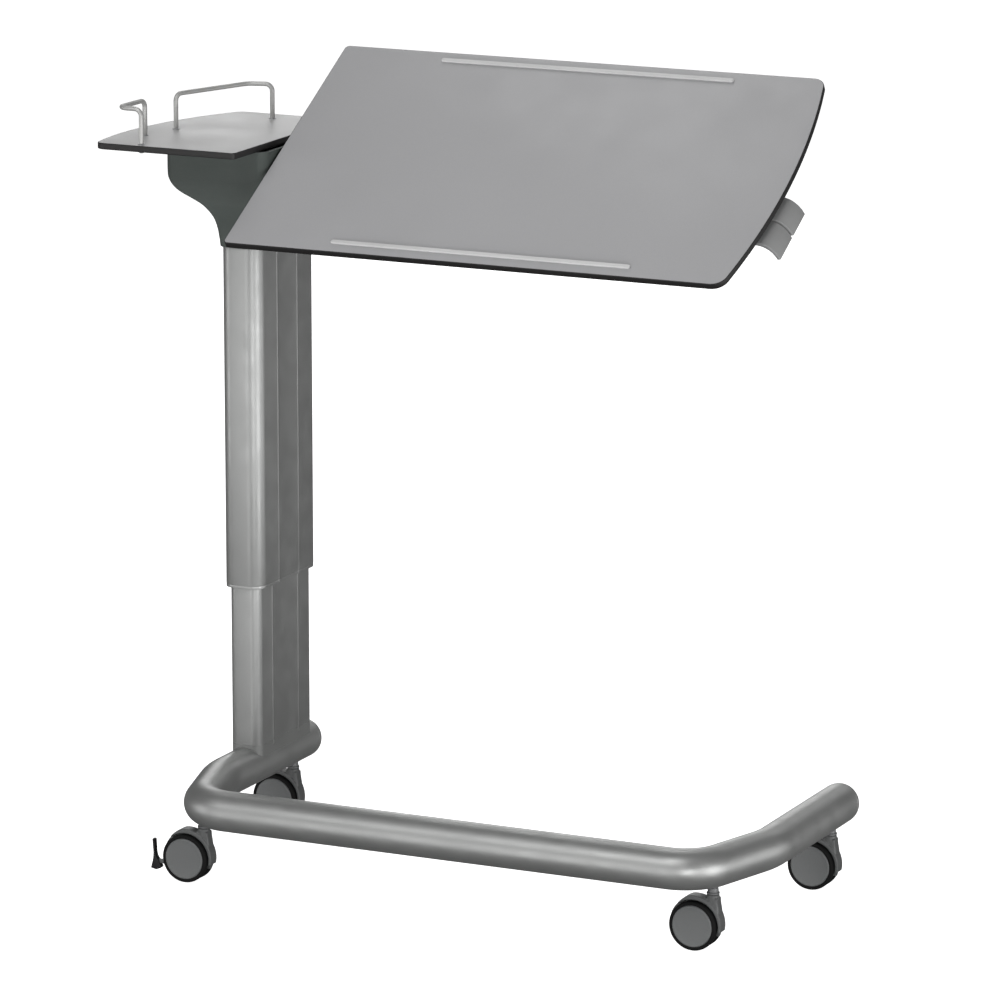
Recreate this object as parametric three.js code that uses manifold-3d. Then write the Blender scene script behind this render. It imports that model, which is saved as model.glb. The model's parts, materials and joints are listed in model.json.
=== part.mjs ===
// Overbed table: a C-shaped tube base on four twin-wheel casters, a two-stage column,
// a fixed side shelf with two wire rails, and a tilting main top with two release levers.
// Millimetres, +Z up, +X along the front bar, +Y towards the open ends of the base legs.

import * as THREE from 'three';
import { mergeVertices } from 'three/addons/utils/BufferGeometryUtils.js';
import Module from 'manifold-3d';

const wasm = await Module();
wasm.setup();

// ---------------------------------------------------------------- driving dimensions
const GAP = 0.3;                 // clearance between touching pieces

const TUBE_RADIUS = 25;          // base tube
const TUBE_WALL = 2.5;
const TUBE_HEIGHT = 103;         // tube centre above the floor
const LEG_SPACING = 735;         // between the leg axes
const LEG_LENGTH = 351;          // bar axis to leg end
const LEG_STRAIGHT = 225;        // parallel part of each leg
const CORNER_INSET = 37;         // how far the bar corner lies inside the leg axis
const CORNER_RADIUS = 50;
const LEG_BEND_RADIUS = 120;
const CAP_DOME = 22;

const WHEEL_RADIUS = 30;
const HUB_RADIUS = 25.5;
const TYRE_INNER_Y = 3.4;        // tyre faces, from the caster's middle plane
const TYRE_OUTER_Y = 12.4;
const CASTER_TRAIL = 22;         // stem axis to axle
const AXLE_RADIUS = 3;
const HUB_COVER = 3;             // hub material outside the axle's end
const STEM_RADIUS = 5.5;
const STEM_COLLAR_RADIUS = 6.6;
const STEM_BOTTOM = 60;
const NECK_RADIUS = 7.8;
const HOOD_TOP = 70;
const HOOD_GAP = 1.5;            // between the tyre and the guard
const HOOD_THICKNESS = 3.5;
const HOOD_RISE = 2;             // how far the guard's outer curve is raised
const HOOD_HALF = 8;
const HOOD_WEB_HALF = 1.8;
const FRONT_STEM_ALONG = 30;     // stem distance from the bar corner, along the leg
const REAR_STEM_INSET = 26;      // stem distance from the leg end

const COLUMN_Y = -85;            // column centre, on the left leg axis
const OUTER_WIDTH = 54;
const OUTER_DEPTH = 160;
const OUTER_CORNER = 18;
const COLUMN_WALL = 2.5;
const SLIDE_CLEARANCE = 3.5;     // between the two column profiles, filled by the glides
const COLUMN_FOOT_TOP = 132;
const LOWER_COLUMN_TOP = 570;
const GLIDE_LENGTH = 40;
const RIM_HEIGHT = 333;          // lower rim of the upper column
const UPPER_COLUMN_TOP = 770;
const COLLAR_LIP = 4;

const SHELF_TOP = 883.5;
const BOARD = 8;                 // thickness of both boards
const SHELF_FRONT = -189;
const SHELF_BACK = 103;
const SHELF_RIGHT = 9;
const SHELF_LEFT = -191;
const SHELF_ARC_RADIUS = 420;
const SHELF_ARC_CENTRE_Y = -108;
const RAIL_HEIGHT = 44;
const RAIL_WIRE = 3;             // wire radius
const RAIL_FOOT = 2.5;           // length of each foot below the shelf

const HEAD_BOTTOM = 762;
const HEAD_TOP = SHELF_TOP - BOARD - GAP;
const HEAD_WALL = 5;

const AXIS_Y = -67;              // tilt axis
const AXIS_Z = 862.7;
const TOP_TILT = 30;             // degrees, front edge down
const TOP_SURFACE = 22;          // board surface above the tilt axis when flat
const TOP_DEPTH = 390;
const TOP_LEFT = 22.5;
const TOP_RIGHT = 694;
const TOP_ARC_RADIUS = 950;
const TOP_ARC_CENTRE_Y = -20;
const SHAFT_RADIUS = 8;
const SHAFT_END = 430;

const STRIP_FROM = 162;
const STRIP_LENGTH = 394;
const STRIP_WIDTH = 7;
const STRIP_HEIGHT = 2.5;
const STRIP_INSET = 17;          // strip centre line to the board's edge

const LEVER_WIDTH = 42;
const LEVER_GAP = 3;
const LEVER_CENTRE_Y = -56.5;    // the slot between the two levers
const LEVER_PIN_X = 640;
const LEVER_PIN_Z = 2;

// ---------------------------------------------------------------- materials
const material = (color, roughness, metalness = 0) =>
  new THREE.MeshStandardMaterial({ color, roughness, metalness });

const paint = { silver: [0xa4a6a6, 0.42, 0.55], grey: [0x585e5a, 0.55, 0] };
const silverPaint = () => material(...paint.silver);
const housingPlastic = () => material(...paint.grey);
const topLaminate = () => material(0x9c9ca0, 0.5);
const shelfLaminate = () => material(0xb6b6b6, 0.5);
const blackPlastic = () => material(0x18191a, 0.5);
const tyreRubber = () => material(0x1c1c1e, 0.75);
const hubPlastic = () => material(0x6f7376, 0.5);
const leverPlastic = () => material(0x828486, 0.45);
const chromedWire = () => material(0xb8babc, 0.25, 0.9);
const steel = () => material(0x9a9ca0, 0.35, 0.9);
const clearStrip = () => material(0xd0d2d4, 0.3);
const glidePlastic = () => material(0xdcdcd8, 0.5);

// ---------------------------------------------------------------- solid helpers
function toSolid(geometry) {
  const bare = geometry.index ? geometry.toNonIndexed() : geometry.clone();
  bare.deleteAttribute('normal');
  bare.deleteAttribute('uv');
  const merged = mergeVertices(bare, 1e-4);
  const vertProperties = new Float32Array(merged.attributes.position.array);
  const triVerts = new Uint32Array(merged.index.array);
  return new wasm.Manifold(new wasm.Mesh({ numProp: 3, vertProperties, triVerts }));
}

function toGeometry(solid) {
  const result = solid.getMesh();
  const geometry = new THREE.BufferGeometry();
  geometry.setAttribute('position', new THREE.BufferAttribute(result.vertProperties, 3));
  geometry.setIndex(new THREE.BufferAttribute(result.triVerts, 1));
  const flat = geometry.toNonIndexed();
  flat.computeVertexNormals();
  return flat;
}

const join = (...parts) => toGeometry(parts.map(toSolid).reduce((a, b) => a.add(b)));
function cut(body, ...tools) {
  return toGeometry(tools.map(toSolid).reduce((rest, tool) => rest.subtract(tool), toSolid(body)));
}

function roundedRect(width, depth, radius, centreX = 0, centreY = 0, segments = 4) {
  const shape = new THREE.Shape();
  const cornerX = width / 2 - radius;
  const cornerY = depth / 2 - radius;
  const corners = [[1, -1], [1, 1], [-1, 1], [-1, -1]];
  corners.forEach(([sx, sy], i) => {
    for (let k = 0; k <= segments; k += 1) {
      const angle = (i - 1 + k / segments) * Math.PI / 2;
      const x = centreX + sx * cornerX + radius * Math.cos(angle);
      const y = centreY + sy * cornerY + radius * Math.sin(angle);
      if (i + k === 0) shape.moveTo(x, y);
      else shape.lineTo(x, y);
    }
  });
  shape.closePath();
  return shape;
}

function circleShape(radius, sides = 16) {
  const shape = new THREE.Shape();
  for (let k = 0; k < sides; k += 1) {
    const angle = (k + 0.5) / sides * 2 * Math.PI;
    if (k === 0) shape.moveTo(radius * Math.cos(angle), radius * Math.sin(angle));
    else shape.lineTo(radius * Math.cos(angle), radius * Math.sin(angle));
  }
  shape.closePath();
  return shape;
}

function withHole(shape, hole) {
  shape.holes.push(hole);
  return shape;
}

function extrudeZ(shape, bottom, top) {
  const geometry = new THREE.ExtrudeGeometry(shape, { depth: top - bottom, bevelEnabled: false });
  return geometry.translate(0, 0, bottom);
}

// A shape drawn in (x, z), extruded from yMin to yMax.
function extrudeY(shape, yMin, yMax) {
  const geometry = new THREE.ExtrudeGeometry(shape, { depth: yMax - yMin, bevelEnabled: false });
  return geometry.rotateX(Math.PI / 2).translate(0, yMax, 0);
}

// A shape drawn in (y, z), extruded from xMin to xMax.
function extrudeX(shape, xMin, xMax) {
  const geometry = new THREE.ExtrudeGeometry(shape, { depth: xMax - xMin, bevelEnabled: false });
  const turn = new THREE.Matrix4().makeBasis(
    new THREE.Vector3(0, 1, 0), new THREE.Vector3(0, 0, 1), new THREE.Vector3(1, 0, 0));
  return geometry.applyMatrix4(turn).translate(xMin, 0, 0);
}

const cylinderX = (radius, xMin, xMax, sides = 16) => extrudeX(circleShape(radius, sides), xMin, xMax);
const cylinderY = (radius, yMin, yMax, sides = 16) => extrudeY(circleShape(radius, sides), yMin, yMax);
const cylinderZ = (radius, zMin, zMax, sides = 16) => extrudeZ(circleShape(radius, sides), zMin, zMax);

function box(xMin, xMax, yMin, yMax, zMin, zMax) {
  const geometry = new THREE.BoxGeometry(xMax - xMin, yMax - yMin, zMax - zMin);
  return geometry.translate((xMin + xMax) / 2, (yMin + yMax) / 2, (zMin + zMax) / 2);
}

// A closed profile of [radius, y] points, turned about the Y axis.
function latheY(profile, segments = 24) {
  const points = profile.map(([r, y]) => new THREE.Vector2(r, y));
  return new THREE.LatheGeometry(points, segments);
}

// A path of straight runs and round bends; its stations are the ends of the runs
// and evenly turned points round each bend.
class BentPath extends THREE.Curve {
  constructor(corners, radii, bendSteps) {
    super();
    this.stations = [corners[0]];
    for (let i = 1; i < corners.length - 1; i += 1) {
      const back = corners[i - 1].clone().sub(corners[i]).normalize();
      const ahead = corners[i + 1].clone().sub(corners[i]).normalize();
      const half = back.angleTo(ahead) / 2;
      const radius = radii[i - 1];
      const inward = back.clone().add(ahead).normalize();
      const centre = corners[i].clone().addScaledVector(inward, radius / Math.sin(half));
      const start = corners[i].clone().addScaledVector(back, radius / Math.tan(half)).sub(centre);
      const end = corners[i].clone().addScaledVector(ahead, radius / Math.tan(half)).sub(centre);
      const axis = new THREE.Vector3().crossVectors(start, end).normalize();
      const steps = bendSteps[i - 1];
      for (let k = 0; k <= steps; k += 1) {
        const spoke = start.clone().applyAxisAngle(axis, start.angleTo(end) * k / steps);
        this.stations.push(spoke.add(centre));
      }
    }
    this.stations.push(corners[corners.length - 1]);
  }

  getPoint(t) {
    const place = Math.min(Math.max(t, 0), 1) * (this.stations.length - 1);
    const index = Math.min(Math.floor(place), this.stations.length - 2);
    return this.stations[index].clone().lerp(this.stations[index + 1], place - index);
  }

  getPointAt(u) {
    return this.getPoint(u);
  }

  getTangentAt(u) {
    const step = 1e-3;
    const before = this.getPoint(u - step);
    return this.getPoint(u + step).sub(before).normalize();
  }
}

function tubeAlong(path, shape) {
  const steps = path.stations.length - 1;
  return new THREE.ExtrudeGeometry(shape, { steps, extrudePath: path, bevelEnabled: false });
}

// A solid through a stack of closed outlines with the same number of points.
function loft(outlines, heights) {
  const count = outlines[0].length;
  const positions = [];
  outlines.forEach((outline, level) => outline.forEach((p) => positions.push(p.x, p.y, heights[level])));
  const indices = [];
  for (let level = 0; level < outlines.length - 1; level += 1) {
    for (let k = 0; k < count; k += 1) {
      const a = level * count + k;
      const b = level * count + (k + 1) % count;
      indices.push(a, b, b + count, a, b + count, a + count);
    }
  }
  const last = (outlines.length - 1) * count;
  for (let k = 1; k < count - 1; k += 1) {
    indices.push(0, k + 1, k);
    indices.push(last, last + k, last + k + 1);
  }
  const geometry = new THREE.BufferGeometry();
  geometry.setAttribute('position', new THREE.Float32BufferAttribute(positions, 3));
  geometry.setIndex(indices);
  return geometry;
}

function addPart(group, name, geometry, finish) {
  const mesh = new THREE.Mesh(geometry, finish);
  mesh.name = name;
  group.add(mesh);
  return mesh;
}

// ---------------------------------------------------------------- base
const LEG_END_Y = 0;
const BAR_Y = LEG_END_Y - LEG_LENGTH;
const legBend = (x) => new THREE.Vector3(x, LEG_END_Y - LEG_STRAIGHT, TUBE_HEIGHT);
const leftCorner = new THREE.Vector3(CORNER_INSET, BAR_Y, TUBE_HEIGHT);
const rightCorner = new THREE.Vector3(LEG_SPACING - CORNER_INSET, BAR_Y, TUBE_HEIGHT);

function frontStemPoint(corner, bend) {
  const along = bend.clone().sub(corner).normalize();
  return corner.clone().addScaledVector(along, FRONT_STEM_ALONG);
}

const frontLeft = frontStemPoint(leftCorner, legBend(0));
const frontRight = frontStemPoint(rightCorner, legBend(LEG_SPACING));
const casterPlaces = {
  front_left: [frontLeft.x, frontLeft.y],
  front_right: [frontRight.x, frontRight.y],
  rear_right: [LEG_SPACING, LEG_END_Y - REAR_STEM_INSET],
  rear_left: [0, LEG_END_Y - REAR_STEM_INSET],
};

const BOSS_RADIUS = 9;
const BOSS_BOTTOM = TUBE_HEIGHT - TUBE_RADIUS + 0.8;
const BOSS_TOP = TUBE_HEIGHT + 6;
const TUBE_SIDES = 14;

function baseFrame() {
  const corners = [
    new THREE.Vector3(0, LEG_END_Y, TUBE_HEIGHT),
    legBend(0),
    leftCorner,
    rightCorner,
    legBend(LEG_SPACING),
    new THREE.Vector3(LEG_SPACING, LEG_END_Y, TUBE_HEIGHT),
  ];
  const bendRadii = [LEG_BEND_RADIUS, CORNER_RADIUS, CORNER_RADIUS, LEG_BEND_RADIUS];
  const path = new BentPath(corners, bendRadii, [3, 6, 6, 3]);
  const section = withHole(
    circleShape(TUBE_RADIUS, TUBE_SIDES), circleShape(TUBE_RADIUS - TUBE_WALL, TUBE_SIDES));
  let frame = toSolid(tubeAlong(path, section));
  for (const [x, y] of Object.values(casterPlaces)) {
    const boss = cylinderZ(BOSS_RADIUS, BOSS_BOTTOM, BOSS_TOP, 12);
    const bore = cylinderZ(STEM_RADIUS + GAP, 0, BOSS_TOP + 1, 12);
    frame = frame.add(toSolid(boss.translate(x, y, 0)));
    frame = frame.subtract(toSolid(bore.translate(x, y, 0)));
  }
  return toGeometry(frame);
}

function endCap() {
  const plugRadius = TUBE_RADIUS - TUBE_WALL - 2 * GAP;
  const plugDepth = 12;
  const profile = [[0, -plugDepth], [plugRadius, -plugDepth], [plugRadius, GAP]];
  const steps = 6;
  for (let k = 0; k < steps; k += 1) {
    const angle = k / steps * Math.PI / 2;
    profile.push([TUBE_RADIUS * Math.cos(angle), GAP + CAP_DOME * Math.sin(angle)]);
  }
  profile.push([0, GAP + CAP_DOME]);
  return latheY(profile, 18);
}

// The saddle that joins the column to the leg tube.
function columnFoot() {
  const width = 46;
  const depth = 150;
  const skirt = TUBE_HEIGHT + 5;
  const block = extrudeZ(roundedRect(width, depth, 14, 0, COLUMN_Y), skirt, COLUMN_FOOT_TOP);
  const tube = cylinderY(TUBE_RADIUS + GAP, COLUMN_Y - depth, COLUMN_Y + depth, 28);
  return cut(block, tube.translate(0, 0, TUBE_HEIGHT));
}

// ---------------------------------------------------------------- casters
function casterStem() {
  const shoulder = TUBE_HEIGHT - TUBE_RADIUS - GAP;
  const washer = HOOD_TOP + 3;
  const profile = [
    [0, STEM_BOTTOM],
    [STEM_RADIUS, STEM_BOTTOM],
    [STEM_RADIUS, HOOD_TOP + GAP],
    [NECK_RADIUS, HOOD_TOP + GAP],
    [NECK_RADIUS, washer],
    [STEM_COLLAR_RADIUS, washer],
    [STEM_COLLAR_RADIUS, shoulder],
    [STEM_RADIUS, shoulder],
    [STEM_RADIUS, BOSS_TOP],
    [0, BOSS_TOP],
  ];
  return latheY(profile, 12).rotateX(Math.PI / 2);
}

function arcPoints(radius, fromDegrees, toDegrees, steps) {
  return Array.from({ length: steps + 1 }, (_, k) => {
    const angle = THREE.MathUtils.degToRad(fromDegrees + (toDegrees - fromDegrees) * k / steps);
    return new THREE.Vector2(radius * Math.cos(angle), radius * Math.sin(angle));
  });
}

const PEDAL_PIN_X = -(WHEEL_RADIUS + 13.5);
const PEDAL_PIN_Z = -10;
const PEDAL_PIN_RADIUS = 1.2;
const PEDAL_HALF = 3.6;
const LUG_RADIUS = 2.8;
const LUG_HALF = 1.6;
const LUG_ARM = 14;

// Swivelling body, drawn about the axle: a curved guard over both wheels,
// a web between them and the neck that turns on the stem.
function casterHood(braked) {
  const guardFrom = -12;
  const guardTo = 130;
  const inside = WHEEL_RADIUS + HOOD_GAP;
  const outer = arcPoints(inside + HOOD_THICKNESS, guardFrom, guardTo, 11)
    .map((point) => new THREE.Vector2(point.x, point.y + HOOD_RISE));
  const inner = arcPoints(inside, guardTo, guardFrom, 11);
  const guard = extrudeY(new THREE.Shape([...outer, ...inner]), -HOOD_HALF, HOOD_HALF);
  const neckTop = HOOD_TOP - WHEEL_RADIUS;
  const wheelRoom = cylinderY(inside, -TYRE_OUTER_Y, TYRE_OUTER_Y, 20);
  const neck = cut(cylinderZ(NECK_RADIUS, 10, neckTop, 12).translate(CASTER_TRAIL, 0, 0), wheelRoom);
  const web = cylinderY(inside + HOOD_THICKNESS / 2, -HOOD_WEB_HALF, HOOD_WEB_HALF, 20);
  const body = [guard, neck, web].map(toSolid).reduce((a, b) => a.add(b));
  const boreBottom = STEM_BOTTOM - WHEEL_RADIUS - GAP;
  const stemBore = cylinderZ(STEM_RADIUS + GAP, boreBottom, neckTop + 1, 12).translate(CASTER_TRAIL, 0, 0);
  const axleBore = cylinderY(AXLE_RADIUS + GAP, -2 * NECK_RADIUS, 2 * NECK_RADIUS, 12);
  const reach = inside + 2 * HOOD_THICKNESS;
  const webFloor = -12;
  const belowWeb = box(-reach, reach, -HOOD_WEB_HALF - 1, HOOD_WEB_HALF + 1, -reach, webFloor);
  const hood = cut(toGeometry(body), stemBore, axleBore, belowWeb);
  if (!braked) return hood;
  const lug = cylinderY(LUG_RADIUS, -LUG_HALF, LUG_HALF, 12).translate(PEDAL_PIN_X, 0, PEDAL_PIN_Z);
  const arm = box(
    PEDAL_PIN_X, PEDAL_PIN_X + LUG_ARM, -LUG_HALF, LUG_HALF,
    PEDAL_PIN_Z - LUG_RADIUS, PEDAL_PIN_Z + LUG_RADIUS);
  const pinRoom = cylinderY(PEDAL_PIN_RADIUS + GAP, -LUG_HALF - 1, LUG_HALF + 1, 8);
  return cut(join(hood, lug, arm), pinRoom.translate(PEDAL_PIN_X, 0, PEDAL_PIN_Z));
}

function tyre() {
  const shoulder = 2.5;
  const profile = [
    [HUB_RADIUS + GAP, TYRE_INNER_Y], [WHEEL_RADIUS - shoulder, TYRE_INNER_Y],
    [WHEEL_RADIUS, TYRE_INNER_Y + shoulder], [WHEEL_RADIUS, TYRE_OUTER_Y - shoulder],
    [WHEEL_RADIUS - shoulder, TYRE_OUTER_Y], [HUB_RADIUS + GAP, TYRE_OUTER_Y],
    [HUB_RADIUS + GAP, TYRE_INNER_Y],
  ];
  return latheY(profile, 24);
}

function hub() {
  const face = TYRE_OUTER_Y + 0.6;
  const plate = 4;
  const bossRadius = 6.5;
  const bossEnd = TYRE_INNER_Y - 1;
  const rimInside = HUB_RADIUS - 3;
  const rimEdge = TYRE_INNER_Y + 1;
  const boreRadius = AXLE_RADIUS + GAP;
  const boreEnd = TYRE_OUTER_Y - HUB_COVER + GAP;
  const profile = [
    [0, boreEnd],
    [boreRadius, boreEnd],
    [boreRadius, bossEnd],
    [bossRadius, bossEnd],
    [bossRadius, face - plate],
    [rimInside, face - plate],
    [rimInside, rimEdge],
    [HUB_RADIUS, rimEdge],
    [HUB_RADIUS, face - 1],
    [HUB_RADIUS - 1.5, face],
    [0, face],
  ];
  return latheY(profile, 24);
}

// Foot brake: a rocking blade that straddles the hood's lug and pivots on its own pin.
function brakePedal() {
  const blade = [
    [0, -11], [7, -7.6], [4.6, -2], [3.4, 1.6], [0.6, 5], [-1, 11], [-2, 28],
    [-5.2, 28], [-4, 17], [-3.6, 10], [-4.2, 3], [-7.6, -9.4],
  ];
  const outline = blade.map(([x, z]) => new THREE.Vector2(PEDAL_PIN_X + x, PEDAL_PIN_Z + z));
  const paddle = extrudeY(new THREE.Shape(outline), -PEDAL_HALF, PEDAL_HALF);
  const slotHalf = LUG_HALF + GAP;
  const slot = cylinderY(LUG_RADIUS + GAP, -slotHalf, slotHalf, 12);
  const roomBottom = PEDAL_PIN_Z - 5.5;
  const roomTop = PEDAL_PIN_Z + 5.5;
  const room = box(PEDAL_PIN_X, PEDAL_PIN_X + LUG_ARM, -slotHalf, slotHalf, roomBottom, roomTop);
  const pin = cylinderY(PEDAL_PIN_RADIUS, -PEDAL_HALF, PEDAL_HALF, 8);
  return join(
    cut(paddle, slot.translate(PEDAL_PIN_X, 0, PEDAL_PIN_Z), room),
    pin.translate(PEDAL_PIN_X, 0, PEDAL_PIN_Z));
}

function addCaster(parent, place, x, y, braked) {
  const stem = addPart(parent, `caster_${place}_stem`, casterStem(), steel());
  stem.position.set(x, y, 0);
  const wheels = new THREE.Group();
  wheels.position.set(x - CASTER_TRAIL, y, WHEEL_RADIUS);
  parent.add(wheels);
  addPart(wheels, `caster_${place}_hood`, casterHood(braked), housingPlastic());
  const axleEnd = TYRE_OUTER_Y - HUB_COVER;
  addPart(wheels, `caster_${place}_axle`, cylinderY(AXLE_RADIUS, -axleEnd, axleEnd, 10), steel());
  for (const [side, turn] of [['back', 0], ['front', Math.PI]]) {
    const tyreMesh = addPart(wheels, `caster_${place}_tyre_${side}`, tyre(), tyreRubber());
    tyreMesh.rotation.z = turn;
    const hubMesh = addPart(wheels, `caster_${place}_hub_${side}`, hub(), hubPlastic());
    hubMesh.rotation.z = turn;
  }
  if (braked) addPart(wheels, `caster_${place}_brake_pedal`, brakePedal(), blackPlastic());
}

// ---------------------------------------------------------------- column
// A profile of the outer column's form, drawn in by the given amount.
function columnOutline(inset) {
  const width = OUTER_WIDTH - 2 * inset;
  const depth = OUTER_DEPTH - 2 * inset;
  return roundedRect(width, depth, OUTER_CORNER - inset, 0, COLUMN_Y, 5);
}

function lowerColumn() {
  const inset = COLUMN_WALL + SLIDE_CLEARANCE;
  const profile = withHole(columnOutline(inset), columnOutline(inset + COLUMN_WALL));
  return extrudeZ(profile, COLUMN_FOOT_TOP + GAP, LOWER_COLUMN_TOP);
}

function upperColumn() {
  const profile = withHole(columnOutline(0), columnOutline(COLUMN_WALL));
  return extrudeZ(profile, RIM_HEIGHT + COLLAR_LIP, UPPER_COLUMN_TOP);
}

// Plastic glide round the top of the lower column, hooked over its end.
function lowerGlide() {
  const outside = COLUMN_WALL + 0.4;
  const tubeFace = COLUMN_WALL + SLIDE_CLEARANCE;
  const seat = LOWER_COLUMN_TOP + GAP;
  const ring = extrudeZ(
    withHole(columnOutline(outside), columnOutline(tubeFace - GAP)),
    LOWER_COLUMN_TOP - GLIDE_LENGTH, seat + 0.2);
  const lip = extrudeZ(
    withHole(columnOutline(outside), columnOutline(tubeFace + COLUMN_WALL)), seat, seat + 2.7);
  return join(ring, lip);
}

// Collar under the upper column: a lip that shows as its rim and a guide sleeve inside it.
function columnCollar() {
  const bore = columnOutline(COLUMN_WALL + SLIDE_CLEARANCE - 0.4);
  const sleeveLength = 40;
  const lip = extrudeZ(withHole(columnOutline(0), bore), RIM_HEIGHT, RIM_HEIGHT + COLLAR_LIP - GAP);
  const sleeve = extrudeZ(
    withHole(columnOutline(COLUMN_WALL + GAP), bore), RIM_HEIGHT + 1, RIM_HEIGHT + sleeveLength);
  return join(lip, sleeve);
}

const LIFT_BORE = 12;
const LIFT_RADIUS = 15;
const LIFT_ROD_RADIUS = 5;
const LIFT_FLOOR = COLUMN_FOOT_TOP + 2;
const LIFT_CYLINDER_TOP = 545;
const LIFT_WALL_END = 6;         // thickness of the closed lower end
const LIFT_GUIDE = 12;           // length of the rod guide
const PISTON_BOTTOM = 342;
const PISTON_LENGTH = 12;
const LIFT_ROD_TOP = 812;

function liftCylinder() {
  const guideRadius = LIFT_ROD_RADIUS + 0.4;
  const guideEnd = LIFT_CYLINDER_TOP - LIFT_GUIDE;
  const profile = [
    [0, LIFT_FLOOR],
    [LIFT_RADIUS, LIFT_FLOOR],
    [LIFT_RADIUS, LIFT_CYLINDER_TOP - 6],
    [LIFT_BORE, LIFT_CYLINDER_TOP],
    [guideRadius, LIFT_CYLINDER_TOP],
    [guideRadius, guideEnd],
    [LIFT_BORE, guideEnd - 2],
    [LIFT_BORE, LIFT_FLOOR + LIFT_WALL_END],
    [0, LIFT_FLOOR + LIFT_WALL_END],
  ];
  return latheY(profile, 16).rotateX(Math.PI / 2).translate(0, COLUMN_Y, 0);
}

function liftRod() {
  const pistonRadius = LIFT_BORE - 0.5;
  const pistonTop = PISTON_BOTTOM + PISTON_LENGTH;
  const profile = [
    [0, PISTON_BOTTOM],
    [pistonRadius, PISTON_BOTTOM],
    [pistonRadius, pistonTop],
    [LIFT_ROD_RADIUS, pistonTop],
    [LIFT_ROD_RADIUS, LIFT_ROD_TOP],
    [0, LIFT_ROD_TOP],
  ];
  return latheY(profile, 16).rotateX(Math.PI / 2).translate(0, COLUMN_Y, 0);
}

// ---------------------------------------------------------------- head
// Outline of the head at each height: left face, right face and half depth.
const headSections = [
  { z: HEAD_BOTTOM, left: -30, right: 30, half: 83, round: 20 },
  { z: 772, left: -31.5, right: 29, half: 82.8, round: 20 },
  { z: 783, left: -38, right: 26, half: 74, round: 18 },
  { z: 794, left: -49, right: 22, half: 63, round: 16 },
  { z: 805, left: -67, right: 20, half: 53, round: 14 },
  { z: 812, left: -84, right: 20, half: 49, round: 13 },
  { z: 818, left: -100, right: 20, half: 46, round: 12 },
  { z: 824, left: -111, right: 20, half: 44, round: 12 },
  { z: 832, left: -118, right: 20, half: 43, round: 12 },
  { z: 842, left: -121, right: 20, half: 42, round: 12 },
  { z: HEAD_TOP, left: -121, right: 20, half: 42, round: 12 },
];

function headOutline(section, inset) {
  const width = section.right - section.left - 2 * inset;
  const centreX = (section.left + section.right) / 2;
  const corner = Math.max(section.round - inset, 3);
  return roundedRect(width, 2 * (section.half - inset), corner, centreX, COLUMN_Y, 4).getPoints();
}

const HEAD_HALF = 42;            // half depth of the head's upper part
const HEAD_FLOOR = 805;          // floor of the hollow in the head
const COVER_WIDTH = 84;
const COVER_HEIGHT = 34;
const COVER_CENTRE_X = -52;
const COVER_CENTRE_Z = 850;

function headHousing() {
  const outer = loft(headSections.map((s) => headOutline(s, 0)), headSections.map((s) => s.z));
  const hollow = headSections.filter((s) => s.z >= HEAD_FLOOR);
  const heights = hollow.map((s) => (s.z === HEAD_TOP ? HEAD_TOP + 1 : s.z));
  const inner = loft(hollow.map((s) => headOutline(s, HEAD_WALL)), heights);
  const socket = extrudeZ(columnOutline(-GAP), HEAD_BOTTOM - 1, UPPER_COLUMN_TOP + GAP);
  const rodHole = cylinderZ(LIFT_ROD_RADIUS + GAP, UPPER_COLUMN_TOP, HEAD_FLOOR + 1, 16);
  const shaftHole = cylinderX(SHAFT_RADIUS + GAP, 10, 30, 16).translate(0, AXIS_Y, AXIS_Z);
  const coverOpening = box(
    COVER_CENTRE_X - COVER_WIDTH / 2, COVER_CENTRE_X + COVER_WIDTH / 2,
    COLUMN_Y + HEAD_HALF - 12, COLUMN_Y + HEAD_HALF + 8,
    COVER_CENTRE_Z - COVER_HEIGHT / 2, COVER_CENTRE_Z + COVER_HEIGHT / 2);
  return cut(outer, inner, socket, rodHole.translate(0, COLUMN_Y, 0), shaftHole, coverOpening);
}

function headCover() {
  const shape = roundedRect(
    COVER_WIDTH - 2 * GAP, COVER_HEIGHT - 2 * GAP, 2, COVER_CENTRE_X, COVER_CENTRE_Z, 2);
  return extrudeY(shape, COLUMN_Y + HEAD_HALF - HEAD_WALL, COLUMN_Y + HEAD_HALF);
}

const MOUNT_FROM = -60;
const MOUNT_TO = -20;
const SHAFT_START = -50;

// Block inside the head that carries the fixed end of the tilt shaft.
function shaftMount() {
  const half = 16;
  const bottom = 828;
  const block = box(MOUNT_FROM, MOUNT_TO, AXIS_Y - half, AXIS_Y + half, bottom, HEAD_TOP - GAP);
  const bore = cylinderX(SHAFT_RADIUS + GAP, SHAFT_START - 2, MOUNT_TO + 10, 16);
  return cut(block, bore.translate(0, AXIS_Y, AXIS_Z));
}

function tiltShaft() {
  return cylinderX(SHAFT_RADIUS, SHAFT_START, SHAFT_END, 16).translate(0, AXIS_Y, AXIS_Z);
}

// Release block on top of the lift rod, worked by the height lever's cable.
function liftRelease() {
  const left = -16;
  const right = 12;
  const arm = box(left, right, COLUMN_Y - 30, COLUMN_Y - 1.5, LIFT_ROD_TOP - 1, LIFT_ROD_TOP + 20);
  const seat = box(left, right, COLUMN_Y - 10, COLUMN_Y + 10, LIFT_ROD_TOP + GAP, LIFT_ROD_TOP + 12);
  const rodRoom = cylinderZ(LIFT_ROD_RADIUS + GAP, LIFT_ROD_TOP - 2, LIFT_ROD_TOP + GAP, 16);
  return cut(join(arm, seat), rodRoom.translate(0, COLUMN_Y, 0));
}

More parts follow.
